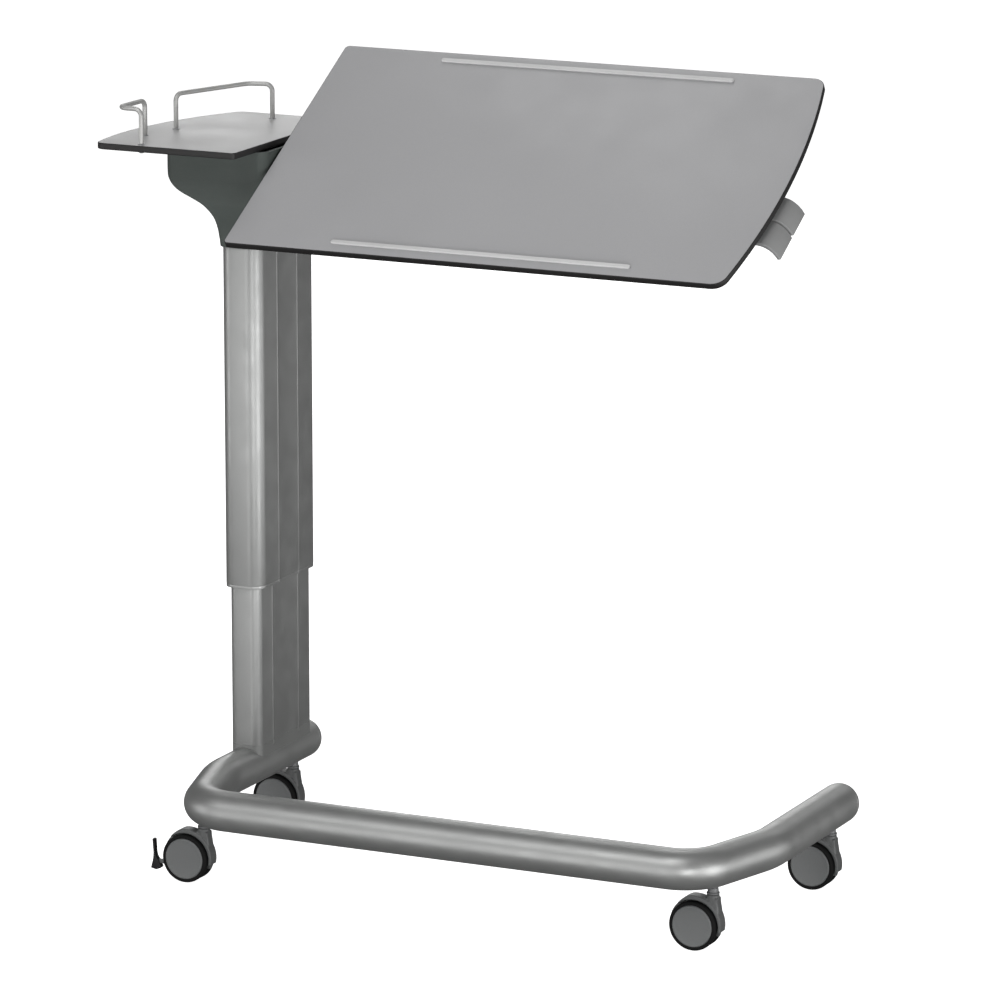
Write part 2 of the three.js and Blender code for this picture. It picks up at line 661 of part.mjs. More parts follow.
// ---------------------------------------------------------------- boards
function addRoundedCorner(points, from, corner, to, radius, steps) {
  const a = from.clone().sub(corner).normalize();
  const b = to.clone().sub(corner).normalize();
  const half = Math.acos(THREE.MathUtils.clamp(a.dot(b), -1, 1)) / 2;
  const centre = corner.clone().addScaledVector(a.clone().add(b).normalize(), radius / Math.sin(half));
  const start = corner.clone().addScaledVector(a, radius / Math.tan(half)).sub(centre);
  const end = corner.clone().addScaledVector(b, radius / Math.tan(half)).sub(centre);
  const sweep = Math.atan2(start.x * end.y - start.y * end.x, start.dot(end));
  for (let k = 0; k <= steps; k += 1) {
    const spoke = start.clone().rotateAround(new THREE.Vector2(), sweep * k / steps).add(centre);
    points.push(spoke);
  }
}

// A board with one straight side and a bowed far side. The bow is an arc that reaches
// farX at height arcY; sign is +1 when the bow faces +X.
function bowedBoard(straightX, farX, front, back, arcRadius, arcY, innerRound, outerRound) {
  const sign = Math.sign(farX - straightX);
  const arcX = (y) => farX - sign * (arcRadius - Math.sqrt(arcRadius ** 2 - (y - arcY) ** 2));
  const corners = [
    new THREE.Vector2(straightX, front),
    new THREE.Vector2(arcX(front), front),
    new THREE.Vector2(arcX(back), back),
    new THREE.Vector2(straightX, back),
  ];
  const points = [];
  addRoundedCorner(points, corners[3], corners[0], corners[1], innerRound, 2);
  const nearFront = new THREE.Vector2(arcX(front + outerRound), front + outerRound);
  const nearBack = new THREE.Vector2(arcX(back - outerRound), back - outerRound);
  addRoundedCorner(points, corners[0], corners[1], nearFront, outerRound, 4);
  const steps = 8;
  for (let k = 1; k < steps; k += 1) {
    const y = nearFront.y + outerRound / 2 + (nearBack.y - nearFront.y - outerRound) * k / steps;
    points.push(new THREE.Vector2(arcX(y), y));
  }
  addRoundedCorner(points, nearBack, corners[2], corners[3], outerRound, 4);
  addRoundedCorner(points, corners[2], corners[3], corners[0], innerRound, 2);
  return new THREE.Shape(points);
}

const railPaths = {
  rear: [[-142, -55], [-100, 58], [-70, 67]],
  front: [[-154, -114], [-157, -179], [-124, -179]],
};

function wireRail(plan) {
  const foot = SHELF_TOP - BOARD - RAIL_FOOT;
  const crown = SHELF_TOP + RAIL_HEIGHT;
  const bends = plan.map(([x, y]) => new THREE.Vector3(x, y, crown));
  const first = new THREE.Vector3(plan[0][0], plan[0][1], foot);
  const last = new THREE.Vector3(plan[2][0], plan[2][1], foot);
  const path = new BentPath([first, ...bends, last], [9, 14, 9], [4, 4, 4]);
  return tubeAlong(path, circleShape(RAIL_WIRE, 8));
}

function sideShelf() {
  const outline = bowedBoard(
    SHELF_RIGHT, SHELF_LEFT, SHELF_FRONT, SHELF_BACK, SHELF_ARC_RADIUS, SHELF_ARC_CENTRE_Y, 5, 14);
  const board = extrudeZ(outline, SHELF_TOP - BOARD, SHELF_TOP);
  const ends = Object.values(railPaths).flatMap((plan) => [plan[0], plan[2]]);
  const holes = ends.map(([x, y]) =>
    cylinderZ(RAIL_WIRE + GAP, SHELF_TOP - BOARD - 1, SHELF_TOP + 1, 10).translate(x, y, 0));
  return cut(board, ...holes);
}

// ---------------------------------------------------------------- tilting top
// Everything here is drawn with the tilt axis as the X axis and the board level.
const boardBottom = TOP_SURFACE - BOARD;

function mainTop() {
  const half = TOP_DEPTH / 2;
  const outline = bowedBoard(
    TOP_LEFT, TOP_RIGHT, -half, half, TOP_ARC_RADIUS, TOP_ARC_CENTRE_Y, 6, 18);
  return extrudeZ(outline, boardBottom, TOP_SURFACE);
}

function retainingStrip(y) {
  const shape = roundedRect(STRIP_LENGTH, STRIP_WIDTH, 3, STRIP_FROM + STRIP_LENGTH / 2, y, 3);
  return extrudeZ(shape, TOP_SURFACE + GAP, TOP_SURFACE + GAP + STRIP_HEIGHT);
}

const CHANNEL_FROM = 60;
const CHANNEL_TO = 560;
const CHANNEL_HALF = 46;
const CHANNEL_WALL = 2;
const CHANNEL_LOW = -4;

// Pressed steel channel screwed under the board.
function topChannel() {
  const top = boardBottom - GAP;
  const inside = CHANNEL_HALF - CHANNEL_WALL;
  const profile = new THREE.Shape([
    new THREE.Vector2(-CHANNEL_HALF, CHANNEL_LOW),
    new THREE.Vector2(-inside, CHANNEL_LOW),
    new THREE.Vector2(-inside, top - CHANNEL_WALL),
    new THREE.Vector2(inside, top - CHANNEL_WALL),
    new THREE.Vector2(inside, CHANNEL_LOW),
    new THREE.Vector2(CHANNEL_HALF, CHANNEL_LOW),
    new THREE.Vector2(CHANNEL_HALF, top),
    new THREE.Vector2(-CHANNEL_HALF, top),
  ]);
  return extrudeX(profile, CHANNEL_FROM, CHANNEL_TO);
}

const channelUnderside = boardBottom - GAP - CHANNEL_WALL;
const BLOCK_BOTTOM = -14;
const BEARING_X = { left: 84, right: 400 };

function shaftBearing(x) {
  const halfLength = 10;
  const halfDepth = 17;
  const block = box(
    x - halfLength, x + halfLength, -halfDepth, halfDepth, BLOCK_BOTTOM, channelUnderside - GAP);
  return cut(block, cylinderX(SHAFT_RADIUS + GAP, x - halfLength - 1, x + halfLength + 1, 16));
}

// Split friction clamp that holds the top at its tilt.
function tiltClamp() {
  const from = 236;
  const to = 262;
  const jawEnd = 22;
  const slotHalf = 1.2;
  const block = box(from, to, -15, jawEnd, BLOCK_BOTTOM, channelUnderside - GAP);
  const bore = cylinderX(SHAFT_RADIUS + GAP, from - 1, to + 1, 16);
  const slot = box(from - 1, to + 1, SHAFT_RADIUS - 2, jawEnd + 1, -slotHalf, slotHalf);
  return cut(block, bore, slot);
}

const HOUSING_FROM = 612;
const HOUSING_TO = 656;
const HOUSING_HALF = LEVER_WIDTH + LEVER_GAP / 2 + 5;
const HOUSING_BOTTOM = -8;
const HOUSING_WALL = 3;
const LEVER_PIN_RADIUS = 2.5;
const leverCentre = {
  height: LEVER_CENTRE_Y + (LEVER_WIDTH + LEVER_GAP) / 2,
  tilt: LEVER_CENTRE_Y - (LEVER_WIDTH + LEVER_GAP) / 2,
};

const CABLE_RADIUS = 2.5;
const CABLE_FROM = 64;
const CABLE_HEIGHT = boardBottom - GAP - CABLE_RADIUS - 0.2;
const cableOffset = { height: 56, tilt: -52 };

// A cable runs beside the channel, then sidles over to the back of its lever.
function releaseCable(offset, leverY) {
  const corners = [
    new THREE.Vector3(CABLE_FROM, offset, CABLE_HEIGHT),
    new THREE.Vector3(CHANNEL_TO + 6, offset, CABLE_HEIGHT),
    new THREE.Vector3(HOUSING_FROM - 20, leverY, CABLE_HEIGHT),
    new THREE.Vector3(HOUSING_FROM - GAP, leverY, CABLE_HEIGHT),
  ];
  return tubeAlong(new BentPath(corners, [12, 12], [3, 3]), circleShape(CABLE_RADIUS, 8));
}

// Shallow tray, open underneath and towards the table's edge, that holds the lever pin.
function leverHousing() {
  const top = boardBottom - GAP;
  const yMin = LEVER_CENTRE_Y - HOUSING_HALF;
  const yMax = LEVER_CENTRE_Y + HOUSING_HALF;
  const side = HOUSING_WALL + 0.5;
  const block = box(HOUSING_FROM, HOUSING_TO, yMin, yMax, HOUSING_BOTTOM, top);
  const room = box(
    HOUSING_FROM + HOUSING_WALL, HOUSING_TO + 1, yMin + side, yMax - side,
    HOUSING_BOTTOM - 1, top - HOUSING_WALL / 2);
  const pinBore = cylinderY(LEVER_PIN_RADIUS + GAP, yMin + 1, yMax - 1, 10);
  return cut(block, room, pinBore.translate(LEVER_PIN_X, 0, LEVER_PIN_Z));
}

function leverPin() {
  const reach = HOUSING_HALF - 1.5;
  const pin = cylinderY(LEVER_PIN_RADIUS, LEVER_CENTRE_Y - reach, LEVER_CENTRE_Y + reach, 10);
  return pin.translate(LEVER_PIN_X, 0, LEVER_PIN_Z);
}

// Side view of a lever as [distance from its pin, height], from the root round the curled tip.
const leverOutline = [
  [-18, 7], [36, 9], [48, 8.6], [57, 5.5], [64, -1], [68.5, -8], [71, -15],
  [67, -15.6], [64, -9], [60, -3.5], [54, 1], [46, 3.8], [32, 4.4],
  [8, -3.5], [-6, -3.5], [-18, 2],
];

// A finger paddle whose free end curls down beyond the board's edge.
function lever(centreY) {
  const outline = leverOutline.map(([x, z]) => new THREE.Vector2(LEVER_PIN_X + x, z));
  const yMin = centreY - LEVER_WIDTH / 2;
  const yMax = centreY + LEVER_WIDTH / 2;
  const paddle = extrudeY(new THREE.Shape(outline), yMin, yMax);
  const bore = cylinderY(LEVER_PIN_RADIUS + GAP, yMin - 1, yMax + 1, 10);
  return cut(paddle, bore.translate(LEVER_PIN_X, 0, LEVER_PIN_Z));
}

// ---------------------------------------------------------------- assembly
const table = new THREE.Group();

// The origin is the middle of the footprint, on the floor.
const outerLeft = SHELF_LEFT;
const outerRight = LEG_SPACING + TUBE_RADIUS;
const outerFront = BAR_Y - TUBE_RADIUS;
const outerBack = SHELF_BACK;
table.position.set(-(outerLeft + outerRight) / 2, -(outerFront + outerBack) / 2, 0);

addPart(table, 'base_frame', baseFrame(), silverPaint());
for (const [side, x] of [['left', 0], ['right', LEG_SPACING]]) {
  const cap = addPart(table, `end_cap_${side}`, endCap(), silverPaint());
  cap.position.set(x, LEG_END_Y, TUBE_HEIGHT);
}
for (const [place, [x, y]] of Object.entries(casterPlaces)) {
  addCaster(table, place, x, y, place === 'front_left');
}
addPart(table, 'column_foot', columnFoot(), silverPaint());
addPart(table, 'lower_column', lowerColumn(), silverPaint());
addPart(table, 'lower_glide', lowerGlide(), glidePlastic());
addPart(table, 'lift_cylinder', liftCylinder(), steel());

addPart(table, 'lift_rod', liftRod(), steel());
addPart(table, 'upper_column', upperColumn(), silverPaint());
addPart(table, 'column_collar', columnCollar(), silverPaint());
addPart(table, 'head_housing', headHousing(), housingPlastic());
addPart(table, 'head_cover', headCover(), housingPlastic());
addPart(table, 'lift_release', liftRelease(), blackPlastic());
addPart(table, 'shaft_mount', shaftMount(), steel());
addPart(table, 'tilt_shaft', tiltShaft(), steel());
addPart(table, 'side_shelf', sideShelf(), shelfLaminate());
for (const [name, plan] of Object.entries(railPaths)) {
  addPart(table, `rail_${name}`, wireRail(plan), chromedWire());
}

const tilting = new THREE.Group();
tilting.position.set(0, AXIS_Y, AXIS_Z);
tilting.rotation.x = THREE.MathUtils.degToRad(TOP_TILT);
table.add(tilting);
addPart(tilting, 'main_top', mainTop(), topLaminate());
const stripY = TOP_DEPTH / 2 - STRIP_INSET;
addPart(tilting, 'strip_rear', retainingStrip(stripY), clearStrip());
addPart(tilting, 'strip_front', retainingStrip(-stripY), clearStrip());
addPart(tilting, 'top_channel', topChannel(), steel());
for (const [side, x] of Object.entries(BEARING_X)) {
  addPart(tilting, `shaft_bearing_${side}`, shaftBearing(x), blackPlastic());
}
addPart(tilting, 'tilt_clamp', tiltClamp(), steel());
addPart(tilting, 'lever_housing', leverHousing(), blackPlastic());
addPart(tilting, 'lever_pin', leverPin(), steel());
for (const name of ['height', 'tilt']) {
  const centreY = leverCentre[name];
  addPart(tilting, `lever_${name}`, lever(centreY), leverPlastic());
  addPart(tilting, `cable_${name}`, releaseCable(cableOffset[name], centreY), blackPlastic());
}

export default table;
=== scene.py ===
"""Looks of an overbed table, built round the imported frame. Metres, +Z up."""

import json
import math

import bmesh
import bpy
import numpy as np
from mathutils import Matrix, Vector


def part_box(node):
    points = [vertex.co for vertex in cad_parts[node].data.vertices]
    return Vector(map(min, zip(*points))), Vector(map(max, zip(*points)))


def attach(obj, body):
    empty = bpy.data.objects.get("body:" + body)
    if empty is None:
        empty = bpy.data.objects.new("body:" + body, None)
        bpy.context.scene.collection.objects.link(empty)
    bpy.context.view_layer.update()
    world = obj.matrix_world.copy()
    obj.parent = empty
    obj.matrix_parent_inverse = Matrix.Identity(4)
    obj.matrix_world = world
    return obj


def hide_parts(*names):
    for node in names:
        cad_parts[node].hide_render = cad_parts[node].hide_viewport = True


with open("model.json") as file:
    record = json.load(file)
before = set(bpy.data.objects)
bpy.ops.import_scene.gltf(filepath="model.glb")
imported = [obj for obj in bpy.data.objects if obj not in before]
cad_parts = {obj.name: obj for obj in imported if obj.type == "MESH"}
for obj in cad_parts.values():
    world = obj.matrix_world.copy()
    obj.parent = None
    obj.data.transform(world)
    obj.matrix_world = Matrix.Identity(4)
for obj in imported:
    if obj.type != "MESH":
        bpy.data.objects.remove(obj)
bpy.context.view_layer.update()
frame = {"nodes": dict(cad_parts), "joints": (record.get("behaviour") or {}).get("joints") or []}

# ------------------------------------------------------------ driving sizes
MM = 0.001
TUBE_RADIUS = 25 * MM
LEG_STRAIGHT = 225 * MM          # parallel part of each base leg
CORNER_INSET = 37 * MM           # how far the bar corners lie inside the leg axes
CORNER_RADIUS = 50 * MM
LEG_BEND_RADIUS = 120 * MM
COLUMN_WALL = 2.5 * MM
COLUMN_CORNER = 18 * MM
COLUMN_SUNK = 6 * MM             # how far the lower column reaches into its saddle
RIB_WIDTH = 6 * MM
RIB_HEIGHT = 0.5 * MM
UPPER_RIB_Y = 27 * MM
LOWER_RIB_Y = 35 * MM
BOARD = 8 * MM
BOARD_EDGE = 0.9 * MM            # eased edge of both boards
TOP_TILT = math.radians(30)
TOP_SURFACE = 22 * MM            # board surface above the tilt axis when level
TOP_DEPTH = 390 * MM
TOP_ARC = 950 * MM
TOP_ARC_Y = -20 * MM
SHELF_ARC = 420 * MM
RAIL_WIRE = 3 * MM
WHEEL_RADIUS = 30 * MM
HUB_RADIUS = 25.5 * MM
CASTER_TRAIL = 22 * MM           # stem axis to axle
NECK_RADIUS = 7.8 * MM
STEM_RADIUS = 5.4 * MM

joints = {joint["name"]: joint for joint in frame["joints"]}
PLACES = ("front_left", "front_right", "rear_right", "rear_left")


def middle(node):
    low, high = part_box(node)
    return (low + high) / 2


# ------------------------------------------------------------ plane outlines
def fillet(points, radii, steps=6, closed=True):
    """The outline with its corners rounded. radii is one number or one for each corner."""
    if not hasattr(radii, "__len__"):
        radii = [radii] * len(points)
    made = []
    for i, corner in enumerate(points):
        open_end = not closed and i in (0, len(points) - 1)
        if radii[i] <= 0 or open_end:
            made.append(Vector(corner))
            continue
        corner = Vector(corner)
        back = (Vector(points[i - 1]) - corner).normalized()
        ahead = (Vector(points[(i + 1) % len(points)]) - corner).normalized()
        half = back.angle(ahead) / 2
        if half > math.radians(89.5):
            made.append(corner)
            continue
        centre = corner + (back + ahead).normalized() * (radii[i] / math.sin(half))
        reach = radii[i] / math.tan(half)
        start = corner + back * reach - centre
        end = corner + ahead * reach - centre
        swept = start.angle(end)
        for k in range(steps + 1):
            share = k / steps
            spoke = start * math.sin((1 - share) * swept) + end * math.sin(share * swept)
            made.append(centre + spoke / math.sin(swept))
    return made


def area(outline):
    pairs = zip(outline, outline[1:] + outline[:1])
    return sum(a.x * b.y - a.y * b.x for a, b in pairs) / 2


def counterclockwise(outline):
    return outline if area(outline) > 0 else outline[::-1]


def inset(outline, distance):
    """A counterclockwise outline moved inwards by a distance."""
    moved = []
    count = len(outline)
    for i, point in enumerate(outline):
        before = (point - outline[i - 1]).normalized()
        after = (outline[(i + 1) % count] - point).normalized()
        normal = Vector((-before.y - after.y, before.x + after.x))
        length = normal.length
        if length < 1e-9:
            moved.append(point.copy())
            continue
        normal /= length
        stretch = max(normal.dot(Vector((-before.y, before.x))), 0.5)
        moved.append(point + normal * (distance / stretch))
    return moved


def rounded_rect(width, depth, radius, steps=6, centre=(0, 0)):
    x, y = width / 2, depth / 2
    cx, cy = centre
    corners = [(cx + x, cy - y), (cx + x, cy + y), (cx - x, cy + y), (cx - x, cy - y)]
    return fillet([Vector(c) for c in corners], radius, steps)


def smooth_through(points, steps=6):
    """A curve through points, by Catmull and Rom's formula."""
    made = []
    last = len(points) - 1
    for i in range(last):
        p0, p1 = points[max(i - 1, 0)], points[i]
        p2, p3 = points[i + 1], points[min(i + 2, last)]
        for k in range(steps):
            t = k / steps
            made.append(
                0.5 * (2 * p1 + (p2 - p0) * t + (2 * p0 - 5 * p1 + 4 * p2 - p3) * t * t
                       + (3 * p1 - p0 - 3 * p2 + p3) * t ** 3))
    made.append(points[last].copy())
    return made


# ------------------------------------------------------------ meshes
def mesh_object(name, verts, faces, sharp=38):
    mesh = bpy.data.meshes.new(name)
    mesh.from_pydata([tuple(v) for v in verts], [], faces)
    work = bmesh.new()
    work.from_mesh(mesh)
    bmesh.ops.remove_doubles(work, verts=work.verts, dist=1e-6)
    bmesh.ops.recalc_face_normals(work, faces=work.faces)
    work.to_mesh(mesh)
    work.free()
    mesh.polygons.foreach_set("use_smooth", [True] * len(mesh.polygons))
    mesh.set_sharp_from_angle(angle=math.radians(sharp))
    made = bpy.data.objects.new(name, mesh)
    bpy.context.scene.collection.objects.link(made)
    return made


def skin(name, rings, looped=False, sharp=38):
    """A solid over rings of equally many points. It has capped ends or closes on itself."""
    count = len(rings[0])
    verts = [v for ring in rings for v in ring]
    faces = []
    for i in range(len(rings) if looped else len(rings) - 1):
        a, b = i * count, ((i + 1) % len(rings)) * count
        for k in range(count):
            n = (k + 1) % count
            faces.append((a + k, a + n, b + n, b + k))
    if not looped:
        faces.append(tuple(range(count))[::-1])
        faces.append(tuple(range(len(verts) - count, len(verts))))
    return mesh_object(name, verts, faces, sharp)


def circle(radius, sides):
    turn = [2 * math.pi * k / sides for k in range(sides)]
    return [(radius * math.cos(a), radius * math.sin(a)) for a in turn]


def lathe(name, profile, segments=64, looped=False, sharp=38):
    """A solid of revolution about Z from a profile of (radius, height) points."""
    rings = [[Vector((x, y, height)) for x, y in circle(radius, segments)]
             for radius, height in profile]
    return skin(name, rings, looped, sharp)


def edge_steps(edge, steps=3):
    """Pairs of inward and vertical distance that round an edge, from the flat face to the side."""
    turn = [math.pi / 2 * k / steps for k in range(steps + 1)]
    return [(edge * (1 - math.sin(a)), edge * (1 - math.cos(a))) for a in turn]


def at_height(outline, z):
    return [Vector((p.x, p.y, z)) for p in outline]


def eased_rings(outline, bottom, top, edge):
    """Rings from bottom to top round an outline, drawn in where the edges are rounded."""
    steps = edge_steps(edge)
    rings = [at_height(inset(outline, inward), bottom + up) for inward, up in steps]
    return rings + [at_height(inset(outline, inward), top - up) for inward, up in steps[::-1]]


def prism(name, outline, bottom, top, edge, sharp=38):
    """An extruded outline with rounded top and bottom edges."""
    return skin(name, eased_rings(counterclockwise(outline), bottom, top, edge), sharp=sharp)


def sleeve(name, outer, inner, bottom, top, edge=0.5 * MM):
    """A hollow profile with open ends."""
    rings = eased_rings(outer, bottom, top, edge)
    rings += [at_height(inner, top), at_height(inner, bottom)]
    return skin(name, rings, looped=True)


def bar(name, path, section):
    """A section swept along a path of points, kept square to it and never twisted."""
    tangents = []
    for i in range(len(path)):
        ahead = path[min(i + 1, len(path) - 1)] - path[max(i - 1, 0)]
        tangents.append(ahead.normalized())
    side = tangents[0].orthogonal().normalized()
    rings = []
    for i, tangent in enumerate(tangents):
        if i:
            side = tangents[i - 1].rotation_difference(tangent) @ side
        other = tangent.cross(side)
        rings.append([path[i] + side * u + other * v for u, v in section])
    return skin(name, rings)


def soften_edges(made, name, width):
    ease = made.modifiers.new(name, "BEVEL")
    ease.width = width
    ease.segments = 3
    ease.limit_method = "ANGLE"
    ease.angle_limit = math.radians(50)


def wire(name, path, radius, sides=32):
    """A round bar whose ends are softly domed."""
    made = bar(name, path, circle(radius, sides))
    soften_edges(made, "end_edge", radius * 0.3)
    return made


def joined(name, objects):
    """One object from several."""
    verts, faces = [], []
    for made in objects:
        first = len(verts)
        verts += [made.matrix_world @ v.co for v in made.data.vertices]
        faces += [[first + i for i in p.vertices] for p in made.data.polygons]
        bpy.data.objects.remove(made)
    return mesh_object(name, verts, faces)


def moulded(name, objects, voxel, rounds):
    """The union of overlapping solids as one moulded body with filleted inner corners."""
    whole = joined(name, objects)
    remesh = whole.modifiers.new("union", "REMESH")
    remesh.mode = "VOXEL"
    remesh.voxel_size = voxel
    remesh.use_smooth_shade = True
    fillets = whole.modifiers.new("fillet", "SMOOTH")
    fillets.factor = 0.5
    fillets.iterations = rounds
    bpy.context.view_layer.update()
    graph = bpy.context.evaluated_depsgraph_get()
    final = bpy.data.meshes.new_from_object(whole.evaluated_get(graph))
    whole.modifiers.clear()
    whole.data = final
    return whole


ALONG_X = Matrix(((0, 0, 1), (1, 0, 0), (0, 1, 0)))      # a (y, z) outline extruded along X
ALONG_Y = Matrix(((1, 0, 0), (0, 0, -1), (0, 1, 0)))     # an (x, z) outline extruded along -Y
TO_FRONT = Matrix.Rotation(math.pi / 2, 3, "X")          # turns +Z to -Y
TO_BACK = Matrix.Rotation(-math.pi / 2, 3, "X")          # turns +Z to +Y
DOWNWARD = Matrix.Rotation(math.pi, 3, "X")


def place(made, location=(0, 0, 0), rotation=None):
    turn = rotation.to_4x4() if rotation else Matrix.Identity(4)
    made.matrix_world = Matrix.Translation(Vector(location)) @ turn
    return made


def copy_of(made, name):
    twin = bpy.data.objects.new(name, made.data)
    bpy.context.scene.collection.objects.link(twin)
    return twin


def show(made, body, material, slot, *nodes):
    """Gives a piece its material and lets it ride, in place of its CAD nodes. The record slot is
    not used.
    """
    if not made.data.materials:
        made.data.materials.append(material)
    if nodes:
        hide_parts(*nodes)
    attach(made, body)


def keep(node, material, edge=0.0):
    """Leaves a CAD node showing, with its material and softened edges."""
    made = frame["nodes"][node]
    for held in made.material_slots:
        held.link = "OBJECT"
        held.material = material
    if edge:
        weld = made.modifiers.new("weld", "WELD")
        weld.merge_threshold = 0.01 * MM
        soften_edges(made, "edges", edge)


def screw(radius, head):
    """Pan head with a round recess, its seat at z = 0 and its crown towards +Z."""
    seat = -0.6 * MM
    profile = [
        (0, head * 0.55), (radius * 0.34, head * 0.6), (radius * 0.4, head),
        (radius * 0.7, head * 0.86), (radius * 0.93, head * 0.5), (radius, 0),
        (radius * 0.5, seat), (0, seat)]
    return lathe("screw", profile, 24)


# ------------------------------------------------------------ materials
def new_material(name):
    made = bpy.data.materials.new(name)
    made.use_nodes = True
    return made, made.node_tree, made.node_tree.nodes["Principled BSDF"]


def noise(tree, scale, detail=3, stretch=(1, 1, 1)):
    """Noise in the piece's own coordinates; scale is in cells per metre."""
    coordinates = tree.nodes.new("ShaderNodeTexCoord")
    mapping = tree.nodes.new("ShaderNodeMapping")
    mapping.inputs["Scale"].default_value = stretch
    made = tree.nodes.new("ShaderNodeTexNoise")
    made.inputs["Scale"].default_value = scale
    made.inputs["Detail"].default_value = detail
    tree.links.new(coordinates.outputs["Object"], mapping.inputs["Vector"])
    tree.links.new(mapping.outputs["Vector"], made.inputs["Vector"])
    return made.outputs["Fac"]


def ramp(tree, source, stops):
    made = tree.nodes.new("ShaderNodeValToRGB")
    elements = made.color_ramp.elements
    while len(elements) < len(stops):
        elements.new(0.5)
    for element, (position, value) in zip(elements, stops):
        element.position = position
        element.color = (*value, 1) if hasattr(value, "__len__") else (value, value, value, 1)
    tree.links.new(source, made.inputs["Fac"])
    return made.outputs["Color"]


def multiply(tree, a, b, share=1.0):
    made = tree.nodes.new("ShaderNodeMixRGB")
    made.blend_type = "MULTIPLY"
    made.inputs["Fac"].default_value = share
    tree.links.new(a, made.inputs["Color1"])
    tree.links.new(b, made.inputs["Color2"])
    return made.outputs["Color"]


def shade(colour, share):
    return tuple(c * share for c in colour)


def textured(name, colour, roughness, metallic=0.0, cloud=12, cloud_depth=0.06, grain=900,
             grain_bump=0.05, speck=0.0, stretch=(1, 1, 1), wave=0.0, sheen=0.5):
    """A surface with slow tone changes, fine grain in colour and relief, and uneven gloss."""
    made, tree, shader = new_material(name)
    shader.inputs["Metallic"].default_value = metallic
    shader.inputs["Specular IOR Level"].default_value = sheen
    cloudy = ramp(tree, noise(tree, cloud, 4), [
        (0.3, shade(colour, 1 - cloud_depth)), (0.7, shade(colour, 1 + cloud_depth))])
    fine = noise(tree, grain, 2, stretch)
    speckled = ramp(tree, fine, [(0.35, 1 - speck), (0.65, 1.0)])
    tree.links.new(multiply(tree, cloudy, speckled), shader.inputs["Base Color"])
    gloss = ramp(tree, noise(tree, cloud * 4, 3, stretch), [
        (0.3, roughness - 0.05), (0.7, roughness + 0.05)])
    tree.links.new(gloss, shader.inputs["Roughness"])
    bump = tree.nodes.new("ShaderNodeBump")
    bump.inputs["Strength"].default_value = grain_bump
    bump.inputs["Distance"].default_value = 0.2 * MM
    tree.links.new(fine, bump.inputs["Height"])
    last = bump.outputs["Normal"]
    if wave > 0:
        peel = tree.nodes.new("ShaderNodeBump")
        peel.inputs["Strength"].default_value = wave
        peel.inputs["Distance"].default_value = 0.5 * MM
        tree.links.new(noise(tree, 160, 1), peel.inputs["Height"])
        tree.links.new(last, peel.inputs["Normal"])
        last = peel.outputs["Normal"]
    tree.links.new(last, shader.inputs["Normal"])
    return made


SILVER = textured("silver_powder_coat", (0.42, 0.425, 0.42), 0.43, 0.75, grain=2600,
                  grain_bump=0.10, speck=0.10, wave=0.04, cloud_depth=0.03)
# A darker copy of the silver coat: painted shade for the dark band where the column meets the tube
SHADED_FOOT_SILVER = textured("foot_silver_painted_shade", (0.30, 0.305, 0.30), 0.6, 0.7, grain=1800, grain_bump=0.14,
                       speck=0.12)
HEAD_GREY = textured("head_moulded_grey", (0.078, 0.092, 0.085), 0.68, grain=1500,
                     grain_bump=0.22, speck=0.12)
TOP_LAMINATE = textured("top_laminate", (0.44, 0.44, 0.45), 0.46, grain=2200, cloud=5,
                        cloud_depth=0.02, grain_bump=0.05, speck=0.08)
SHELF_LAMINATE = textured("shelf_laminate", (0.54, 0.54, 0.54), 0.46, grain=2200, cloud=5,
                          cloud_depth=0.02, grain_bump=0.05, speck=0.08)
BLACK_CORE = textured("laminate_core", (0.014, 0.013, 0.013), 0.5, grain=2500,
                      stretch=(0.05, 0.05, 1.6), grain_bump=0.12, speck=0.4)
BLACK_PLASTIC = textured("black_plastic", (0.010, 0.010, 0.011), 0.5, grain=1800,
                         grain_bump=0.12, speck=0.2, sheen=0.3)
TYRE_RUBBER = textured("tyre_rubber", (0.008, 0.008, 0.008), 0.75, grain=1400, grain_bump=0.2,
                       speck=0.25, sheen=0.15)
HUB_GREY = textured("hub_grey", (0.145, 0.15, 0.15), 0.5, grain=1600, grain_bump=0.12,
                    speck=0.14)
HOOD_GREY = textured("hood_grey", (0.10, 0.103, 0.103), 0.42, grain=1600, grain_bump=0.08,
                     speck=0.08)
LEVER_GREY = textured("lever_grey", (0.31, 0.312, 0.312), 0.42, grain=1600, grain_bump=0.12,
                      speck=0.08)
WIRE = textured("satin_wire", (0.53, 0.53, 0.52), 0.45, 0.4, grain=1500, grain_bump=0.02,
                speck=0.06)
STEEL = textured("zinc_steel", (0.46, 0.47, 0.48), 0.34, 0.85, grain=700,
                 stretch=(0.08, 1, 1), grain_bump=0.06, speck=0.15)
STRIP = textured("pale_strip", (0.68, 0.68, 0.68), 0.4, grain=1200, grain_bump=0.03,
                 speck=0.04)
STEM_STEEL = textured("dark_steel", (0.17, 0.172, 0.175), 0.5, 0.5, grain=900, grain_bump=0.06,
                      speck=0.12)
GLIDE = textured("white_glide", (0.6, 0.6, 0.57), 0.5, grain=1200, grain_bump=0.05,
                 speck=0.05)

# ------------------------------------------------------------ base
base_low, base_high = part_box("base_frame")
tube_z = (base_low.z + base_high.z) / 2
leg_left = base_low.x + TUBE_RADIUS
leg_right = base_high.x - TUBE_RADIUS
bar_y = base_low.y + TUBE_RADIUS
leg_end = base_high.y


